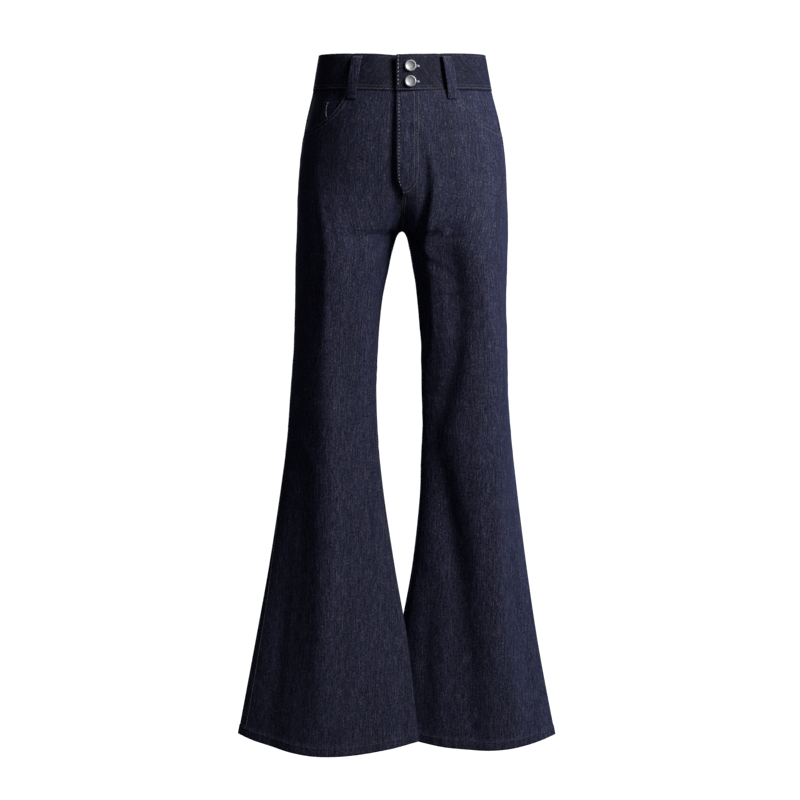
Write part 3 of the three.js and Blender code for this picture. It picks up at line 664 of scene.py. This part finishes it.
class Look:
    """A material with the nodes that shade it."""

    def __init__(self, name, source="TexCoord", output="Object", **settings):
        self.material = bpy.data.materials.new(name)
        self.material.use_nodes = True
        self.tree = self.material.node_tree
        self.shader = self.tree.nodes["Principled BSDF"]
        self.place = self.add(source, {}, **settings).outputs[output]

    def put(self, node, key, value):
        """Links what another node gives, or sets a constant."""
        if isinstance(value, bpy.types.NodeSocket):
            self.tree.links.new(value, node.inputs[key])
        else:
            node.inputs[key].default_value = value

    def add(self, kind, inputs, **settings):
        node = self.tree.nodes.new("ShaderNode" + kind)
        for key, value in settings.items():
            setattr(node, key, value)
        for key, value in inputs.items():
            self.put(node, key, value)
        return node

    def noise(self, scale, detail):
        return self.add("TexNoise", {"Vector": self.place, "Scale": scale, "Detail": detail}).outputs["Fac"]

    def threads(self, across, down, seed, detail=2.0):
        """Streaks that are fine across the warp and long down it, from 0 to 1."""
        scaled = self.add("Mapping", {
            "Vector": self.place, "Scale": (across, down, 1), "Location": (seed, 0, 0),
        }).outputs[0]
        return self.add("TexNoise", {
            "Vector": scaled, "Scale": 1.0, "Detail": detail, "Roughness": 0.6,
        }, noise_dimensions="2D").outputs["Fac"]

    def ramp(self, value, *stops):
        """A blend of colours, or of greys given as one number each, by a value."""
        node = self.add("ValToRGB", {"Fac": value})
        elements = node.color_ramp.elements
        while len(elements) < len(stops):
            elements.new(0.5)
        for element, (place, colour) in zip(elements, stops):
            element.position = place
            element.color = (*(colour if isinstance(colour, tuple) else (colour,) * 3), 1)
        return node.outputs["Color"]

    def combine(self, operation, a, b):
        return self.add("Math", {0: a, 1: b}, operation=operation).outputs[0]

    def total(self, *parts):
        """The sum of values, each times its weight."""
        shares = [self.combine("MULTIPLY", value, weight) for value, weight in parts]
        result = shares[0]
        for share in shares[1:]:
            result = self.combine("ADD", result, share)
        return result

    def blend(self, mode, factor, a, b):
        return self.add("Mix", {0: factor, 6: a, 7: b}, data_type="RGBA", blend_type=mode).outputs[2]

    def set(self, **values):
        for key, value in values.items():
            self.put(self.shader, key.replace("_", " "), value)

    def finish(self, height, strength, distance, **values):
        """Sets the shader, with a relief of a strength and a depth in m, and gives the material."""
        bump = self.add("Bump", {"Height": height, "Strength": strength, "Distance": distance})
        self.set(Normal=bump.outputs[0], **values)
        return self.material


INDIGO = (0.0045, 0.005, 0.0165)
INDIGO_LIT = (0.036, 0.0365, 0.075)
SLUB = (0.122, 0.115, 0.138)
WEFT = (0.16, 0.17, 0.21)
WARP_INSIDE = (0.035, 0.038, 0.07)
TWILL = {"pitch": 0.0011, "lean": -62, "bump": 0.0004}  # m, degrees, m
STREAKS = ((560, 300, 3.1, 1.0), (470, 70, 21.3, 1.0), (520, 15, 57.9, 2.0))  # short, middling and long


def denim(name, angle=0.0, tone=1.0, inside=False):
    """Twill with a slubby warp: dark indigo outside, and mostly pale weft inside."""
    look = Look(name, "UVMap", "UV", uv_map="weave")
    if angle:
        look.place = look.add("VectorRotate", {"Vector": look.place, "Angle": math.radians(angle)},
                              rotation_type="Z_AXIS").outputs[0]
    short, middling, long = (look.threads(*size) for size in STREAKS)
    fine = look.total((short, 0.5), (middling, 0.28), (long, 0.22))
    slub = look.threads(430, 46, 41.7)
    broad = look.threads(46, 3.2, 77.3)
    specks = look.threads(760, 420, 12.9, 1.0)
    slanted = look.add("Mapping", {"Vector": look.place, "Rotation": (0, 0, math.radians(TWILL["lean"]))})
    twill = look.add("TexWave", {
        "Vector": slanted.outputs[0], "Scale": 1 / TWILL["pitch"] / 6.28, "Distortion": 1.2, "Detail": 1.0,
        "Detail Scale": 2.0,
    }, wave_type="BANDS", bands_direction="X").outputs["Fac"]
    if inside:
        colour = look.ramp(fine, (0.3, tuple(c * 0.75 for c in WEFT)), (0.7, tuple(c * 1.2 for c in WEFT)))
        colour = look.blend("MIX", look.combine("MULTIPLY", twill, 0.6), colour, (*WARP_INSIDE, 1))
    else:
        middle = tuple(mix(dark, lit, 0.4) for dark, lit in zip(INDIGO, INDIGO_LIT))
        base = look.ramp(fine, (0.38, INDIGO), (0.5, middle), (0.62, INDIGO_LIT))
        pale = look.ramp(slub, (0.5, 0.0), (0.7, 0.8))
        pale = look.combine("MULTIPLY", pale, look.ramp(specks, (0.5, 0.0), (0.68, 1.0)))
        colour = look.blend("MIX", pale, base, (*SLUB, 1))
        cloud = look.ramp(broad, (0.25, 0.78), (0.75, 1.16))
        weave = look.ramp(twill, (0.1, 0.8), (0.9, 1.12))
        for factor in (cloud, weave, (tone, tone, tone, 1)):
            colour = look.blend("MULTIPLY", 1.0, colour, factor)
    rough = look.ramp(fine, (0.38, 0.74), (0.62, 0.9))
    height = look.total((twill, 0.5), (fine, 0.8), (slub, 0.6))
    return look.finish(
        height, 0.45, TWILL["bump"], Base_Color=colour, Roughness=rough, Specular_IOR_Level=0.12,
        Sheen_Weight=0.09, Sheen_Roughness=0.4, Sheen_Tint=(0.24, 0.3, 1, 1),
    )


def thread_material(name, dark, light):
    """Twisted sewing thread with a slanting ply and a soft gloss."""
    look = Look(name)
    ply = look.add("TexWave", {"Vector": look.place, "Scale": 900.0, "Distortion": 1.5},
                   bands_direction="DIAGONAL").outputs["Fac"]
    both = look.total((ply, 0.4), (look.noise(180.0, 2.0), 0.6))
    colour = look.ramp(both, (0.25, dark), (0.75, light))
    return look.finish(ply, 0.4, 0.0001, Base_Color=colour, Roughness=0.6, Sheen_Weight=0.15)


def metal_material():
    """Brushed silver-coloured button metal with fine turning marks and dull patches."""
    look = Look("button_metal")
    marks = look.noise(900.0, 3.0)
    colour = look.ramp(look.noise(160.0, 3.0), (0.3, (0.25, 0.25, 0.265)), (0.7, (0.4, 0.4, 0.415)))
    rough = look.ramp(marks, (0.3, 0.5), (0.7, 0.66))
    return look.finish(marks, 0.12, 0.0001, Base_Color=colour, Roughness=rough, Metallic=1.0)


INSIDE = denim("denim_inside", inside=True)
CLOTH_FACES = [denim("denim"), INSIDE]
BAND_FACES = [denim("denim_band", angle=38, tone=0.58), INSIDE]
YOKE_FACES = [denim("denim_yoke", angle=-12), INSIDE]
PATCH_FACES = [denim("denim_patch", angle=3, tone=1.06), INSIDE]
THREAD = thread_material("thread", (0.016, 0.018, 0.036), (0.04, 0.043, 0.07))
GREY_THREAD = thread_material("grey_thread", (0.055, 0.055, 0.07), (0.13, 0.13, 0.15))
PALE_THREAD = thread_material("pale_thread", (0.3, 0.3, 0.33), (0.62, 0.61, 0.63))
METAL = metal_material()


# Panels

def leg_panel(leg, face):
    rows, hem_count = front_rows(leg) if face == "front" else back_rows(leg)
    depth, across = rows[..., 0], rows[..., 1].copy()
    across[:, 0][np.abs(across[:, 0]) < 1e-9] = 0
    across[:, -1][np.abs(across[:, -1] - 1) < 1e-6] = 1
    hemmed = np.zeros(depth.shape)
    hemmed[-hem_count:] = 1
    lift = HEM["outward"] * hemmed
    if face == "front":
        lift = lift + fly_lift(leg, depth, across) + gape(depth, across)
    thickness = CLOTH + (HEM["outward"] + HEM["inward"]) * hemmed
    rims = (0.6 if face == "front" else 0, 0, 0.9, 0)
    above = "waistband_front_" + leg if face == "front" else "yoke_" + leg
    name = "panel_" + face + "_" + leg
    cut_piece(name, (leg, face, depth, across), (lift, lift - thickness), CLOTH_FACES, rims,
              (name, "hung", [above]), face + "_" + leg)


def filled(first, last, share, step):
    """Depths and shares across of the rows from one edge to another, about a step apart."""
    rows = between([pair(first, share), pair(last, share)], step)
    return rows[..., 0], rows[..., 1]


def yoke(leg):
    share = crowded(64)
    depth, across = filled(band_seam("back", share) + SEAM_GAP, yoke_seam(share), share, 3.0)
    cut_piece("yoke_cloth_" + leg, (leg, "back", depth, across), (0, -CLOTH), YOKE_FACES, (0, 0, 0, 0),
              ("yoke_cloth", "hung", ["waistband_back"]), "yoke_" + leg)


def facing_lift(depth, across):
    at_seam = 1 - smooth(across, 0, FACING["flush_across"])
    flush = at_seam * (1 - smooth(depth, *FACING["flush"]))
    return -(CLOTH + FACING["gap"]) * (1 - flush)


def pocket_facing(leg):
    share = np.linspace(0, FACING["across"], 46)
    behind = FACING["behind"] * smooth(share, FACING["flush_across"], FACING["flush_across"] + 0.04)
    bottom = np.full_like(share, FACING["bottom"])
    depth, across = filled(band_seam("front", share) + SEAM_GAP - behind, bottom, share, 2.5)
    lift = facing_lift(depth, across)
    cut_piece("facing_cloth_" + leg, (leg, "front", depth, across), (lift, lift - CLOTH), CLOTH_FACES,
              (0, 0, 0, 0), ("facing_cloth", "hung", ["waistband_front_" + leg]), "pocket_facing_" + leg)


def coin_pocket():
    foot = (COIN["outer"] + COIN["foot"]) / SCOOP["across"]
    bottom = SCOOP_TOP + SCOOP["drop"] * math.sqrt(1 - foot ** 2)
    depth = np.linspace(COIN["top"], bottom, 19)[:, None] + np.zeros((1, 17))
    share = np.linspace(0, 1, 17)[None]
    across = mix(COIN["outer"], scoop_across(depth) - COIN["edge"], share)
    lift = facing_lift(depth, across) + PATCH_GAP
    cut_piece("coin_pocket_cloth", ("right", "front", depth, across), (lift + PATCH_CLOTH, lift),
              PATCH_FACES, (0.5, 0.2, 0.4, 0.5), ("coin_pocket_cloth", "laid", ["pocket_facing_right"]),
              "coin_pocket")


def pocket_place(leg, down, share):
    """Depth and share across of a place on a back pocket, from its top left to its bottom right."""
    length = half_length(leg, "back", HIP_ROWS[0][0])
    drawn = BACK_POCKET["taper"] * down
    first = (BACK_POCKET["from"] + drawn) / length
    last = (BACK_POCKET["from"] + BACK_POCKET["width"] - drawn) / length
    across = mix(first, last, share)
    count = BACK_POCKET["rows"]
    row = [np.interp(down * count, range(count + 1), HIP_ROWS[:count + 1, k]) for k in range(3)]
    point = BACK_POCKET["point"] * down * np.maximum(1 - np.abs(2 * share - 1), 0)
    return row_depth(row, across, last) + point, across


def pocket_lift(down, share):
    """A back pocket stands off its panel a little more in its middle."""
    return PATCH_GAP + 0.5 * np.sin(np.pi * down) * np.sin(np.pi * share)


def back_pocket(leg):
    down, share = np.meshgrid(crowded(42, 0.4), crowded(44, 0.4), indexing="ij")
    depth, across = pocket_place(leg, down, share)
    lift = pocket_lift(down, share)
    cut_piece("back_pocket_cloth_" + leg, (leg, "back", depth, across), (lift + PATCH_CLOTH, lift),
              PATCH_FACES, (0.5, 0.5, 0.5, 0.5), ("back_pocket_cloth", "laid", ["back_" + leg]),
              "back_pocket_" + leg)


BAND_LINES = (3.0, 44.5, 48.6)  # stitch lines on the band, below its top edge
BAND_SINK = {"depth": 0.32, "width": 1.5}


def band_sink(down):
    return -BAND_SINK["depth"] * sum(bell(down, line, BAND_SINK["width"]) for line in BAND_LINES)


def band_ripple(along, down, seed):
    """The two layers of the band shift a little, so slight slanting drags show between its seams."""
    drag = noise((along + 0.8 * down) / 13 + seed, down / 30 + seed) - 0.5
    return 0.75 * drag * np.sin(np.pi * np.clip(down / BAND["height"], 0, 1))


def band_rows(face, across):
    down = BAND["height"] * crowded(20, 0.45)[:, None] + np.zeros((1, len(across)))
    return band_top(face, across)[None] + down, down


def front_band(leg):
    share = crowded(72)
    across = share * fly_edge(leg, BAND["height"] / 2)
    depth, down = band_rows("front", across)
    across = np.broadcast_to(across, depth.shape)
    along = across * half_length(leg, "front", depth)
    lift = band_lift(leg, depth, across)
    ripple = band_ripple(along, down, 4 + LEGS.index(leg)) * smooth(along, 0, 8)
    cut_piece("band_front_" + leg, (leg, "front", depth, across),
              (lift + band_sink(down) + ripple, lift - BAND["cloth"]), BAND_FACES, (0.9, 0.9, 0.3, 0),
              ("band_front", "hung", ["waistband_back"]), "waistband_front_" + leg, own=False)


def back_band():
    half = crowded(64, 0.3)
    grids = []
    for leg in LEGS:
        depth, down = band_rows("back", half)
        across = np.broadcast_to(half, depth.shape)
        along = across * half_length(leg, "back", depth)
        off_seams = smooth(along, 0, 8) * (1 - smooth(across, 0.9, 1))
        ripple = band_ripple(along, down, 11 + LEGS.index(leg)) * off_seams
        faces = []
        for lift in (BAND["proud"] + band_sink(down) + ripple, BAND["proud"] - BAND["cloth"]):
            grid = on_cloth(leg, "back", depth, np.minimum(across, 1 - 1e-6), lift, own=False)
            grid[:, -1, 0] = 0
            faces.append(grid)
        weave = grain(leg, "back", depth, across)
        weave[..., 0] = SIDE[leg] * (1 - across) * 170
        grids.append((*faces, weave))
    joined = [np.concatenate([a, b[:, -2::-1]], axis=1) for a, b in zip(*grids)]
    obj = shell("band_back", *joined, BAND_FACES, (0.9, 0, 0.3, 0))
    cloth(obj, "band_back", "hung", ["waistband_front_right", "waistband_front_left"], "waistband_back")


# Belt loops

def loop_place(name, t, off):
    """Depth, place aside and lift on a belt loop: t down it, off from its middle in mm."""
    leg, face, top, bottom = LOOPS[name]
    edge = band_top(face, float(across_at(leg, face, LOOP["top"], max(top, 1))))
    depth = mix(LOOP["top"], LOOP["bottom"], t) + edge
    x = mix(top, bottom, t) + off
    seat = mix(BAND["proud"], 0, smooth(t, *LOOP_BOW["settle"])) + PATCH_GAP
    bow = LOOP_BOW["height"] * np.sin(np.pi * np.minimum(t / LOOP_BOW["end"], 1)) ** LOOP_BOW["power"]
    return depth, x, seat + bow


def loop_points(name, t, off, over):
    leg, face = LOOPS[name][:2]
    depth, x, lift = loop_place(name, t, off)
    lift = lift + over
    found = np.zeros((*depth.shape, 3))
    for half in LEGS:
        chosen = (x < 0) if half == "right" else (x >= 0)
        if name != "back_centre":
            chosen = np.full(x.shape, half == leg)
        if chosen.any():
            across = np.minimum(across_at(half, face, depth[chosen], np.abs(x[chosen])), 1 - 1e-6)
            found[chosen] = on_cloth(half, face, depth[chosen], across, lift[chosen], own=False)
    return found


def belt_loop(name):
    t, off = np.meshgrid(crowded(54, 0.2), (crowded(12, 0.5) - 0.5) * LOOP["width"], indexing="ij")
    seed = 20 + list(LOOPS).index(name)
    drag = LOOP_RELIEF["drag"] * (noise(t * 7 + seed, off / 6 + seed) - 0.5)
    crown = LOOP_RELIEF["crown"] * (1 - (2 * off / LOOP["width"]) ** 2) + drag
    fold = LOOP_RELIEF["fold"] * (smooth(t, 0, 0.05) - smooth(t, 0.95, 1))
    outer = loop_points(name, t, off, LOOP["cloth"] + crown + fold)
    inner = loop_points(name, t, off, 0.0)
    weave = np.stack([off + 300 + 40 * seed, -t * (LOOP["bottom"] - LOOP["top"])], axis=-1)
    obj = shell("belt_loop_cloth_" + name, outer, inner, weave, PATCH_FACES, (0.8, 0.8, 0.8, 0.8))
    band = "waistband_back" if name.startswith("back") else "waistband_" + name
    cloth(obj, "belt_loop_cloth", "laid", [band], "belt_loop_" + name)


# Stitches

STITCH = {"pitch": 3.4, "length": 2.5, "radius": 0.36, "sink": 0.25, "oval": 1.15}
RING_SIDES = 6


# A unit stitch along Z, closed at its two ends
CAPSULE, CAPSULE_SIDES = revolved([(0.45, -0.5), (1.0, -0.3), (1.0, 0.3), (0.45, 0.5)], RING_SIDES)
CAPSULE_ENDS = [list(range(RING_SIDES))[::-1], list(range(3 * RING_SIDES, 4 * RING_SIDES))]


def unit(vectors):
    return vectors / np.maximum(np.linalg.norm(vectors, axis=1), 1e-9)[:, None]


class Thread:
    """Gathers single stitches, and makes one mesh of them."""

    def __init__(self):
        self.parts = []

    def add(self, centre, along, normal, length, radius):
        across = unit(np.cross(normal, along))
        up = np.cross(along, across)
        sizes = np.array([radius * STITCH["oval"], radius, length])
        ways = np.stack([across, up, along], axis=1)
        self.parts.append(centre[:, None] + np.einsum("pk,nkx->npx", CAPSULE * sizes, ways))

    def line(self, points, normals, pitch=STITCH["pitch"], length=STITCH["length"], radius=STITCH["radius"]):
        """A row of stitches along a path with its outward directions."""
        steps = np.linalg.norm(np.diff(points, axis=0), axis=1)
        run = np.concatenate([[0], np.cumsum(steps)])
        count = max(1, int(run[-1] / pitch))
        at = (np.arange(count) + 0.5) * run[-1] / count

        def place(s, values):
            return np.stack([np.interp(s, run, values[:, k]) for k in range(3)], axis=1)

        ahead = unit(place(at + length / 2, points) - place(at - length / 2, points))
        up = unit(place(at, normals))
        self.add(place(at, points) + up * (radius - STITCH["sink"]), ahead, up, length, radius)

    def row(self, leg, face, depth, across, lift=0.0, own=True, **size):
        """A row of stitches on the dressed cloth."""
        depth, across = (np.array(x, float) for x in np.broadcast_arrays(depth, across))
        self.line(on_cloth(leg, face, depth, across, lift, own), outward(leg, face, depth, across), **size)

    def bar(self, centre, along, normal, width, height, count):
        """A bartack: short stitches set close together across a narrow bar."""
        along, normal = unit(along[None]), unit(normal[None])
        for k in range(count):
            middle = centre + along * width * ((k + 0.5) / count - 0.5) + normal * STITCH["sink"]
            lean = np.cross(normal, along) + along * (0.12 if k % 2 else -0.12)
            self.add(middle, unit(lean), normal, height, width / count * 0.62)

    def make(self, name, material):
        points = np.concatenate(self.parts)
        start = (np.arange(len(points)) * len(CAPSULE))[:, None, None]
        quads = (np.array(CAPSULE_SIDES)[None] + start).reshape(-1, 4).tolist()
        ends = (np.array(CAPSULE_ENDS)[None] + start).reshape(-1, RING_SIDES).tolist()
        piece(new_object(name, points.reshape(-1, 3), quads + ends, material), "thread")


def from_side(leg, face, depth, distance):
    return distance / half_length(leg, face, depth)


def from_inner(leg, face, depth, distance):
    return 1 - from_side(leg, face, depth, distance)


INSEAM_LINES = (3.0, 9.5)
HEM_LINE_ABOVE = 12.5
SCOOP_LINES = (2.0, 7.5)
PALE_SIDE = {"range": (560, 1030), "off": (2.5, 13.0)}
CENTRE_LINES = (2.2, 7.5)
YOKE_LINES = (2.0, 7.5)
J_CURVE = {"rows": (23, 17.5), "turn": 170, "end": 199}
BUTTONHOLE = {"from": 4, "to": 23.5, "half": 0.9, "count": 38, "length": 1.9, "radius": 0.42}
EDGE_ROWS = ({"pitch": 5.2, "length": 2.8, "radius": 0.32}, {"pitch": 4.9, "length": 2.2, "radius": 0.22})
COIN_ROWS = ({"pitch": 2.8, "length": 2.5}, {"pitch": 1.6, "length": 1.7})


def leg_stitches(leg):
    thread = Thread()
    down = np.arange(CROTCH["depth"] + 10, HEM_BEND["length"] - 4, 6.0)
    for distance in INSEAM_LINES:
        thread.row(leg, "front", down, from_inner(leg, "front", down, distance))
    for face in WAY:
        across = np.linspace(0.012, 0.988, 90)
        thread.row(leg, face, hem_depth(leg, across) - HEM_LINE_ABOVE, across, HEM["outward"])
    side = np.arange(120, HEM_BEND["length"] - 2 if leg == "left" else PALE_SIDE["range"][0], 8.0)
    thread.row(leg, "front", side, from_side(leg, "front", side, 3.0))
    thread.make("stitches_leg_" + leg, THREAD)


def side_seam_stitches():
    thread = Thread()
    first, last = PALE_SIDE["range"]
    depth = np.arange(first, last - 2, 6.0)
    distance = mix(*PALE_SIDE["off"], smooth(depth, first - 60, last))
    thread.row("right", "front", depth, from_side("right", "front", depth, distance), radius=0.4)
    thread.make("stitches_side_seam", GREY_THREAD)


def pale_stitches():
    """The coin pocket's pale row, the placket's edge and the two buttonholes."""
    thread = Thread()
    depth = np.linspace(COIN["top"] + 1, COIN["top"] + 24, 20)
    lift = facing_lift(depth, COIN["outer"]) + PATCH_GAP + PATCH_CLOTH
    across = COIN["outer"] + np.linspace(0.046, 0.066, 20) - 0.012 * np.sin(np.linspace(0, np.pi, 20))
    thread.row("right", "front", depth, across, lift, **COIN_ROWS[0])
    across = np.linspace(COIN["outer"] + 0.036, COIN["outer"] + 0.058, 8)
    thread.row("right", "front", COIN["top"] + 1.5, across, lift[:8], **COIN_ROWS[1])
    edge = np.arange(58, FLY_END - 8, 4.0)
    across = fly_edge("left", edge) - from_side("left", "front", edge, 3.6)
    thread.row("left", "front", edge, across, fly_lift("left", edge, across), **EDGE_ROWS[1])
    edge = np.linspace(3, 48, 20)
    across = fly_edge("left", edge) - from_side("left", "front", edge, 2.4)
    thread.row("left", "front", edge, across, band_lift("left", edge, across), own=False, **EDGE_ROWS[0])
    for middle in BUTTON["depths"].values():
        buttonhole(thread, middle)
    thread.make("stitches_pale", PALE_THREAD)


def buttonhole(thread, middle):
    """Close stitches round the slot that the button comes through."""
    turn = np.linspace(0, 2 * np.pi, BUTTONHOLE["count"], endpoint=False)
    first, last, half = BUTTONHOLE["from"], BUTTONHOLE["to"], BUTTONHOLE["half"]
    along, down = np.cos(turn), np.sin(turn)
    straight = (last - first) / 2 - half
    x = (last + first) / 2 + np.sign(along) * straight * np.minimum(np.abs(along) * 1.6, 1) + half * along
    depth = middle + half * down
    across = across_at("left", "front", depth, x)
    points = on_cloth("left", "front", depth, across, band_lift("left", depth, across), own=False)
    normals = outward("left", "front", depth, across)
    towards = np.stack([along, np.zeros_like(turn), -down], axis=1)
    towards = unit(towards - normals * np.einsum("ni,ni->n", towards, normals)[:, None])
    thread.add(points + normals * 0.2, towards, normals, BUTTONHOLE["length"], BUTTONHOLE["radius"])


def front_stitches():
    thread, grey = Thread(), Thread()
    for leg in LEGS:
        for distance in SCOOP_LINES:
            angle = np.radians(np.linspace(3, 88, 60))
            depth = SCOOP_TOP + (SCOOP["drop"] + distance) * np.sin(angle)
            across = SCOOP["across"] * np.cos(angle) * (1 + distance / (SCOOP["across"] * SCOOP["width"]))
            grey.row(leg, "front", depth, across, gape(depth, across), radius=0.3)
        across = np.linspace(0.01, 1, 90) * fly_edge(leg, 25) * 0.99
        for line in BAND_LINES:
            depth = band_top("front", across) + line
            lift = band_lift(leg, depth, across) + band_sink(line)
            row = grey.row if line == BAND_LINES[-1] else thread.row
            row(leg, "front", depth, across, lift, own=False, radius=0.29)
    for distance in J_CURVE["rows"]:
        down = np.arange(58, J_CURVE["turn"], 5.0)
        turn = np.linspace(0, np.pi / 2, 30)
        radius = J_CURVE["end"] - (J_CURVE["rows"][0] - distance) - J_CURVE["turn"]
        x = np.concatenate([np.full(len(down), float(distance)), distance * np.cos(turn) ** 0.8])
        depth = np.concatenate([down, J_CURVE["turn"] + radius * np.sin(turn)])
        across = across_at("left", "front", depth, np.maximum(x, 0.8))
        grey.row("left", "front", depth, across, fly_lift("left", depth, across), radius=0.28)
    seam = np.arange(FLY_END + 6, CROTCH["depth"] - 4, 4.0)
    for distance in CENTRE_LINES:
        across = from_inner("left", "front", seam, distance)
        grey.row("left", "front", seam, across, fly_lift("left", seam, across))
    for name in ("front_right", "front_left"):
        loop_stitches(grey, name)
    thread.make("stitches_front", THREAD)
    grey.make("stitches_front_grey", GREY_THREAD)


def loop_stitches(thread, name):
    t = np.linspace(0.05, 0.95, 50)
    leg, face, top, bottom = LOOPS[name]
    for off in (-LOOP_ROWS["off"], LOOP_ROWS["off"]):
        points = loop_points(name, t, np.full_like(t, off), LOOP["cloth"] + 0.25)
        side = "right" if name == "back_centre" and off < 0 else leg
        depth, x, _ = loop_place(name, t, off)
        thread.line(points, outward(side, face, depth, across_at(side, face, depth, np.abs(x))))
    for place in LOOP_ROWS["bars"]:
        ends = loop_points(name, np.array([place, place]), np.array([-4.5, 4.5]), LOOP["cloth"] + 0.1)
        depth = np.array([mix(LOOP["top"], LOOP["bottom"], place)])
        x = np.array([abs(mix(top, bottom, place))])
        normal = outward(leg, face, depth, np.minimum(across_at(leg, face, depth, x), 0.999))[0]
        thread.bar(ends.mean(axis=0), ends[1] - ends[0], normal, *LOOP_ROWS["bar"])


def back_stitches():
    thread = Thread()
    for leg in LEGS:
        across = np.linspace(0.01, 0.99, 80)
        for distance in YOKE_LINES:
            thread.row(leg, "back", yoke_seam(across) + SEAM_GAP + distance, across)
        for line in BAND_LINES:
            lift = BAND["proud"] + band_sink(line)
            thread.row(leg, "back", band_top("back", across) + line, across, lift, own=False)
        pocket_stitches(thread, leg)
    seam = np.arange(YOKE["centre"] + 12, CROTCH["depth"] - 3, 4.0)
    for distance in CENTRE_LINES:
        thread.row("left", "back", seam, from_inner("left", "back", seam, distance))
    for name in ("back_right", "back_left", "back_centre"):
        loop_stitches(thread, name)
    thread.make("stitches_back", THREAD)


def pocket_stitches(thread, leg):
    """Two rows round a back pocket's sides and foot, and two across its turned top."""
    def row(down, share):
        thread.row(leg, "back", *pocket_place(leg, down, share), pocket_lift(down, share) + PATCH_CLOTH)

    for inset in (0.022, 0.07):
        side, far = np.linspace(0.01, 1 - inset, 40), 1 - inset
        row(np.concatenate([side, np.full(50, far), side[::-1]]),
            np.concatenate([np.full(40, inset), np.linspace(inset, far, 50), np.full(40, far)]))
    for down in (0.02, 0.13):
        row(np.full(50, down), np.linspace(0.03, 0.97, 50))


# Buttons

BUTTON_SIDES = 56
BUTTON_FOOT = [(3.2, 0), (3.2, 1.2)]
# In from the button's radius, and down from its height
BUTTON_RIM = [
    (1.2, 2.8), (0.3, 2.5), (0, 1.9), (0.05, 1.2), (0.35, 0.6), (0.8, 0.2), (1.3, 0),
    (1.9, 0.08), (2.6, 0.34), (3.4, 0.66), (4.4, 0.92), (5.6, 1.1), (7.0, 1.18),
]
BUTTON_DISH = 1.2


def button(name, depth):
    """A shank button: post, rolled rim and a shallow dish."""
    radius, height = BUTTON["radius"], BUTTON["height"]
    profile = BUTTON_FOOT + [(radius - inward, height - down) for inward, down in BUTTON_RIM]
    rings, faces = revolved(profile, BUTTON_SIDES)
    count = len(rings)
    points = np.concatenate([rings, [(0, 0, 0), (0, 0, height - BUTTON_DISH)]])
    faces += fan(count, 0, BUTTON_SIDES)
    faces += [face[::-1] for face in fan(count + 1, count - BUTTON_SIDES, BUTTON_SIDES)]
    at = np.array([float(depth)])
    across = across_at("left", "front", at, BUTTON["x"])
    base = on_cloth("left", "front", at, across, band_lift("left", at, across) + PATCH_GAP, own=False)
    up = Vector(outward("left", "front", at, across)[0])
    spin = np.array(Vector((0, 0, 1)).rotation_difference(up).to_matrix())
    obj = new_object("shank_button_" + name, points @ spin.T + base, faces, METAL)
    piece(obj, "button_metal", "button_" + name)


for leg_name in LEGS:
    for face_name in WAY:
        leg_panel(leg_name, face_name)
    yoke(leg_name)
    pocket_facing(leg_name)
    back_pocket(leg_name)
    front_band(leg_name)
    leg_stitches(leg_name)
coin_pocket()
back_band()
for loop_name in LOOPS:
    belt_loop(loop_name)
front_stitches()
back_stitches()
side_seam_stitches()
pale_stitches()
for button_name, button_depth in BUTTON["depths"].items():
    button(button_name, button_depth)


# Studio

STAGE = {"floor": -2.4, "radius": 4.8, "bend": 1.6, "height": 9.0, "sides": 72, "glow": 0.93}
CAMERA = {"place": (-0.003, -2.9, -0.17), "pitch": 6.725, "lens": 87.08, "sensor": 36}


def stage():
    """A pale floor that curves up into a pale wall all round, and glows for the camera only."""
    look = Look("pale_floor")
    colour = look.ramp(look.noise(2.0, 2.0), (0.3, (0.84, 0.84, 0.845)), (0.7, 0.87))
    look.set(Base_Color=colour, Roughness=0.9, Specular_IOR_Level=0.1, Emission_Color=(1, 1, 1, 1),
             Emission_Strength=STAGE["glow"])
    floor, radius, bend, sides = (STAGE[key] for key in ("floor", "radius", "bend", "sides"))
    turn = np.linspace(0, np.pi / 2, 16)
    profile = [(radius - bend * (1 - math.sin(a)), floor + bend * (1 - math.cos(a))) for a in turn]
    profile.append((radius, floor + STAGE["height"]))
    rings, faces = revolved(profile, sides)
    points = np.concatenate([rings, [(0, 0, floor)]]) / MM
    disc = [face[::-1] for face in fan(len(rings), 0, sides)]  # faces up
    obj = new_object("floor", points, faces + disc, look.material)
    obj.visible_diffuse = obj.visible_glossy = obj.visible_shadow = False


def placed(name, data, place, turn):
    obj = bpy.data.objects.new(name, data)
    obj.location = place
    obj.rotation_euler = turn
    bpy.context.scene.collection.objects.link(obj)
    return obj


def area_light(name, place, aim, size, power, colour=(1, 1, 1)):
    data = bpy.data.lights.new(name, "AREA")
    data.shape = "RECTANGLE"
    data.size, data.size_y = size
    data.energy = power
    data.color = colour
    placed(name, data, place, (Vector(aim) - Vector(place)).to_track_quat("-Z", "Y").to_euler())


def camera():
    data = bpy.data.cameras.new("camera")
    data.lens, data.sensor_width = CAMERA["lens"], CAMERA["sensor"]
    turn = (math.radians(90 - CAMERA["pitch"]), 0, 0)
    bpy.context.scene.camera = placed("camera", data, CAMERA["place"], turn)


stage()
camera()
area_light("key", (1.34, -1.19, 0.85), (0, 0, -0.4), (0.8, 0.9), 66)
area_light("rim", (2.2, 0.75, -0.66), (0, 0, -0.7), (0.6, 1.3), 27, (0.5, 0.62, 1.0))
area_light("back", (-0.35, 2.35, 1.1), (0, 0, -0.5), (1.1, 1.3), 44)
world = bpy.data.worlds.new("world")
world.use_nodes = True
world.node_tree.nodes["Background"].inputs["Color"].default_value = (0.9, 0.92, 1.0, 1)
world.node_tree.nodes["Background"].inputs["Strength"].default_value = 0.075
bpy.context.scene.world = world
bpy.context.scene.view_settings.view_transform = "Standard"
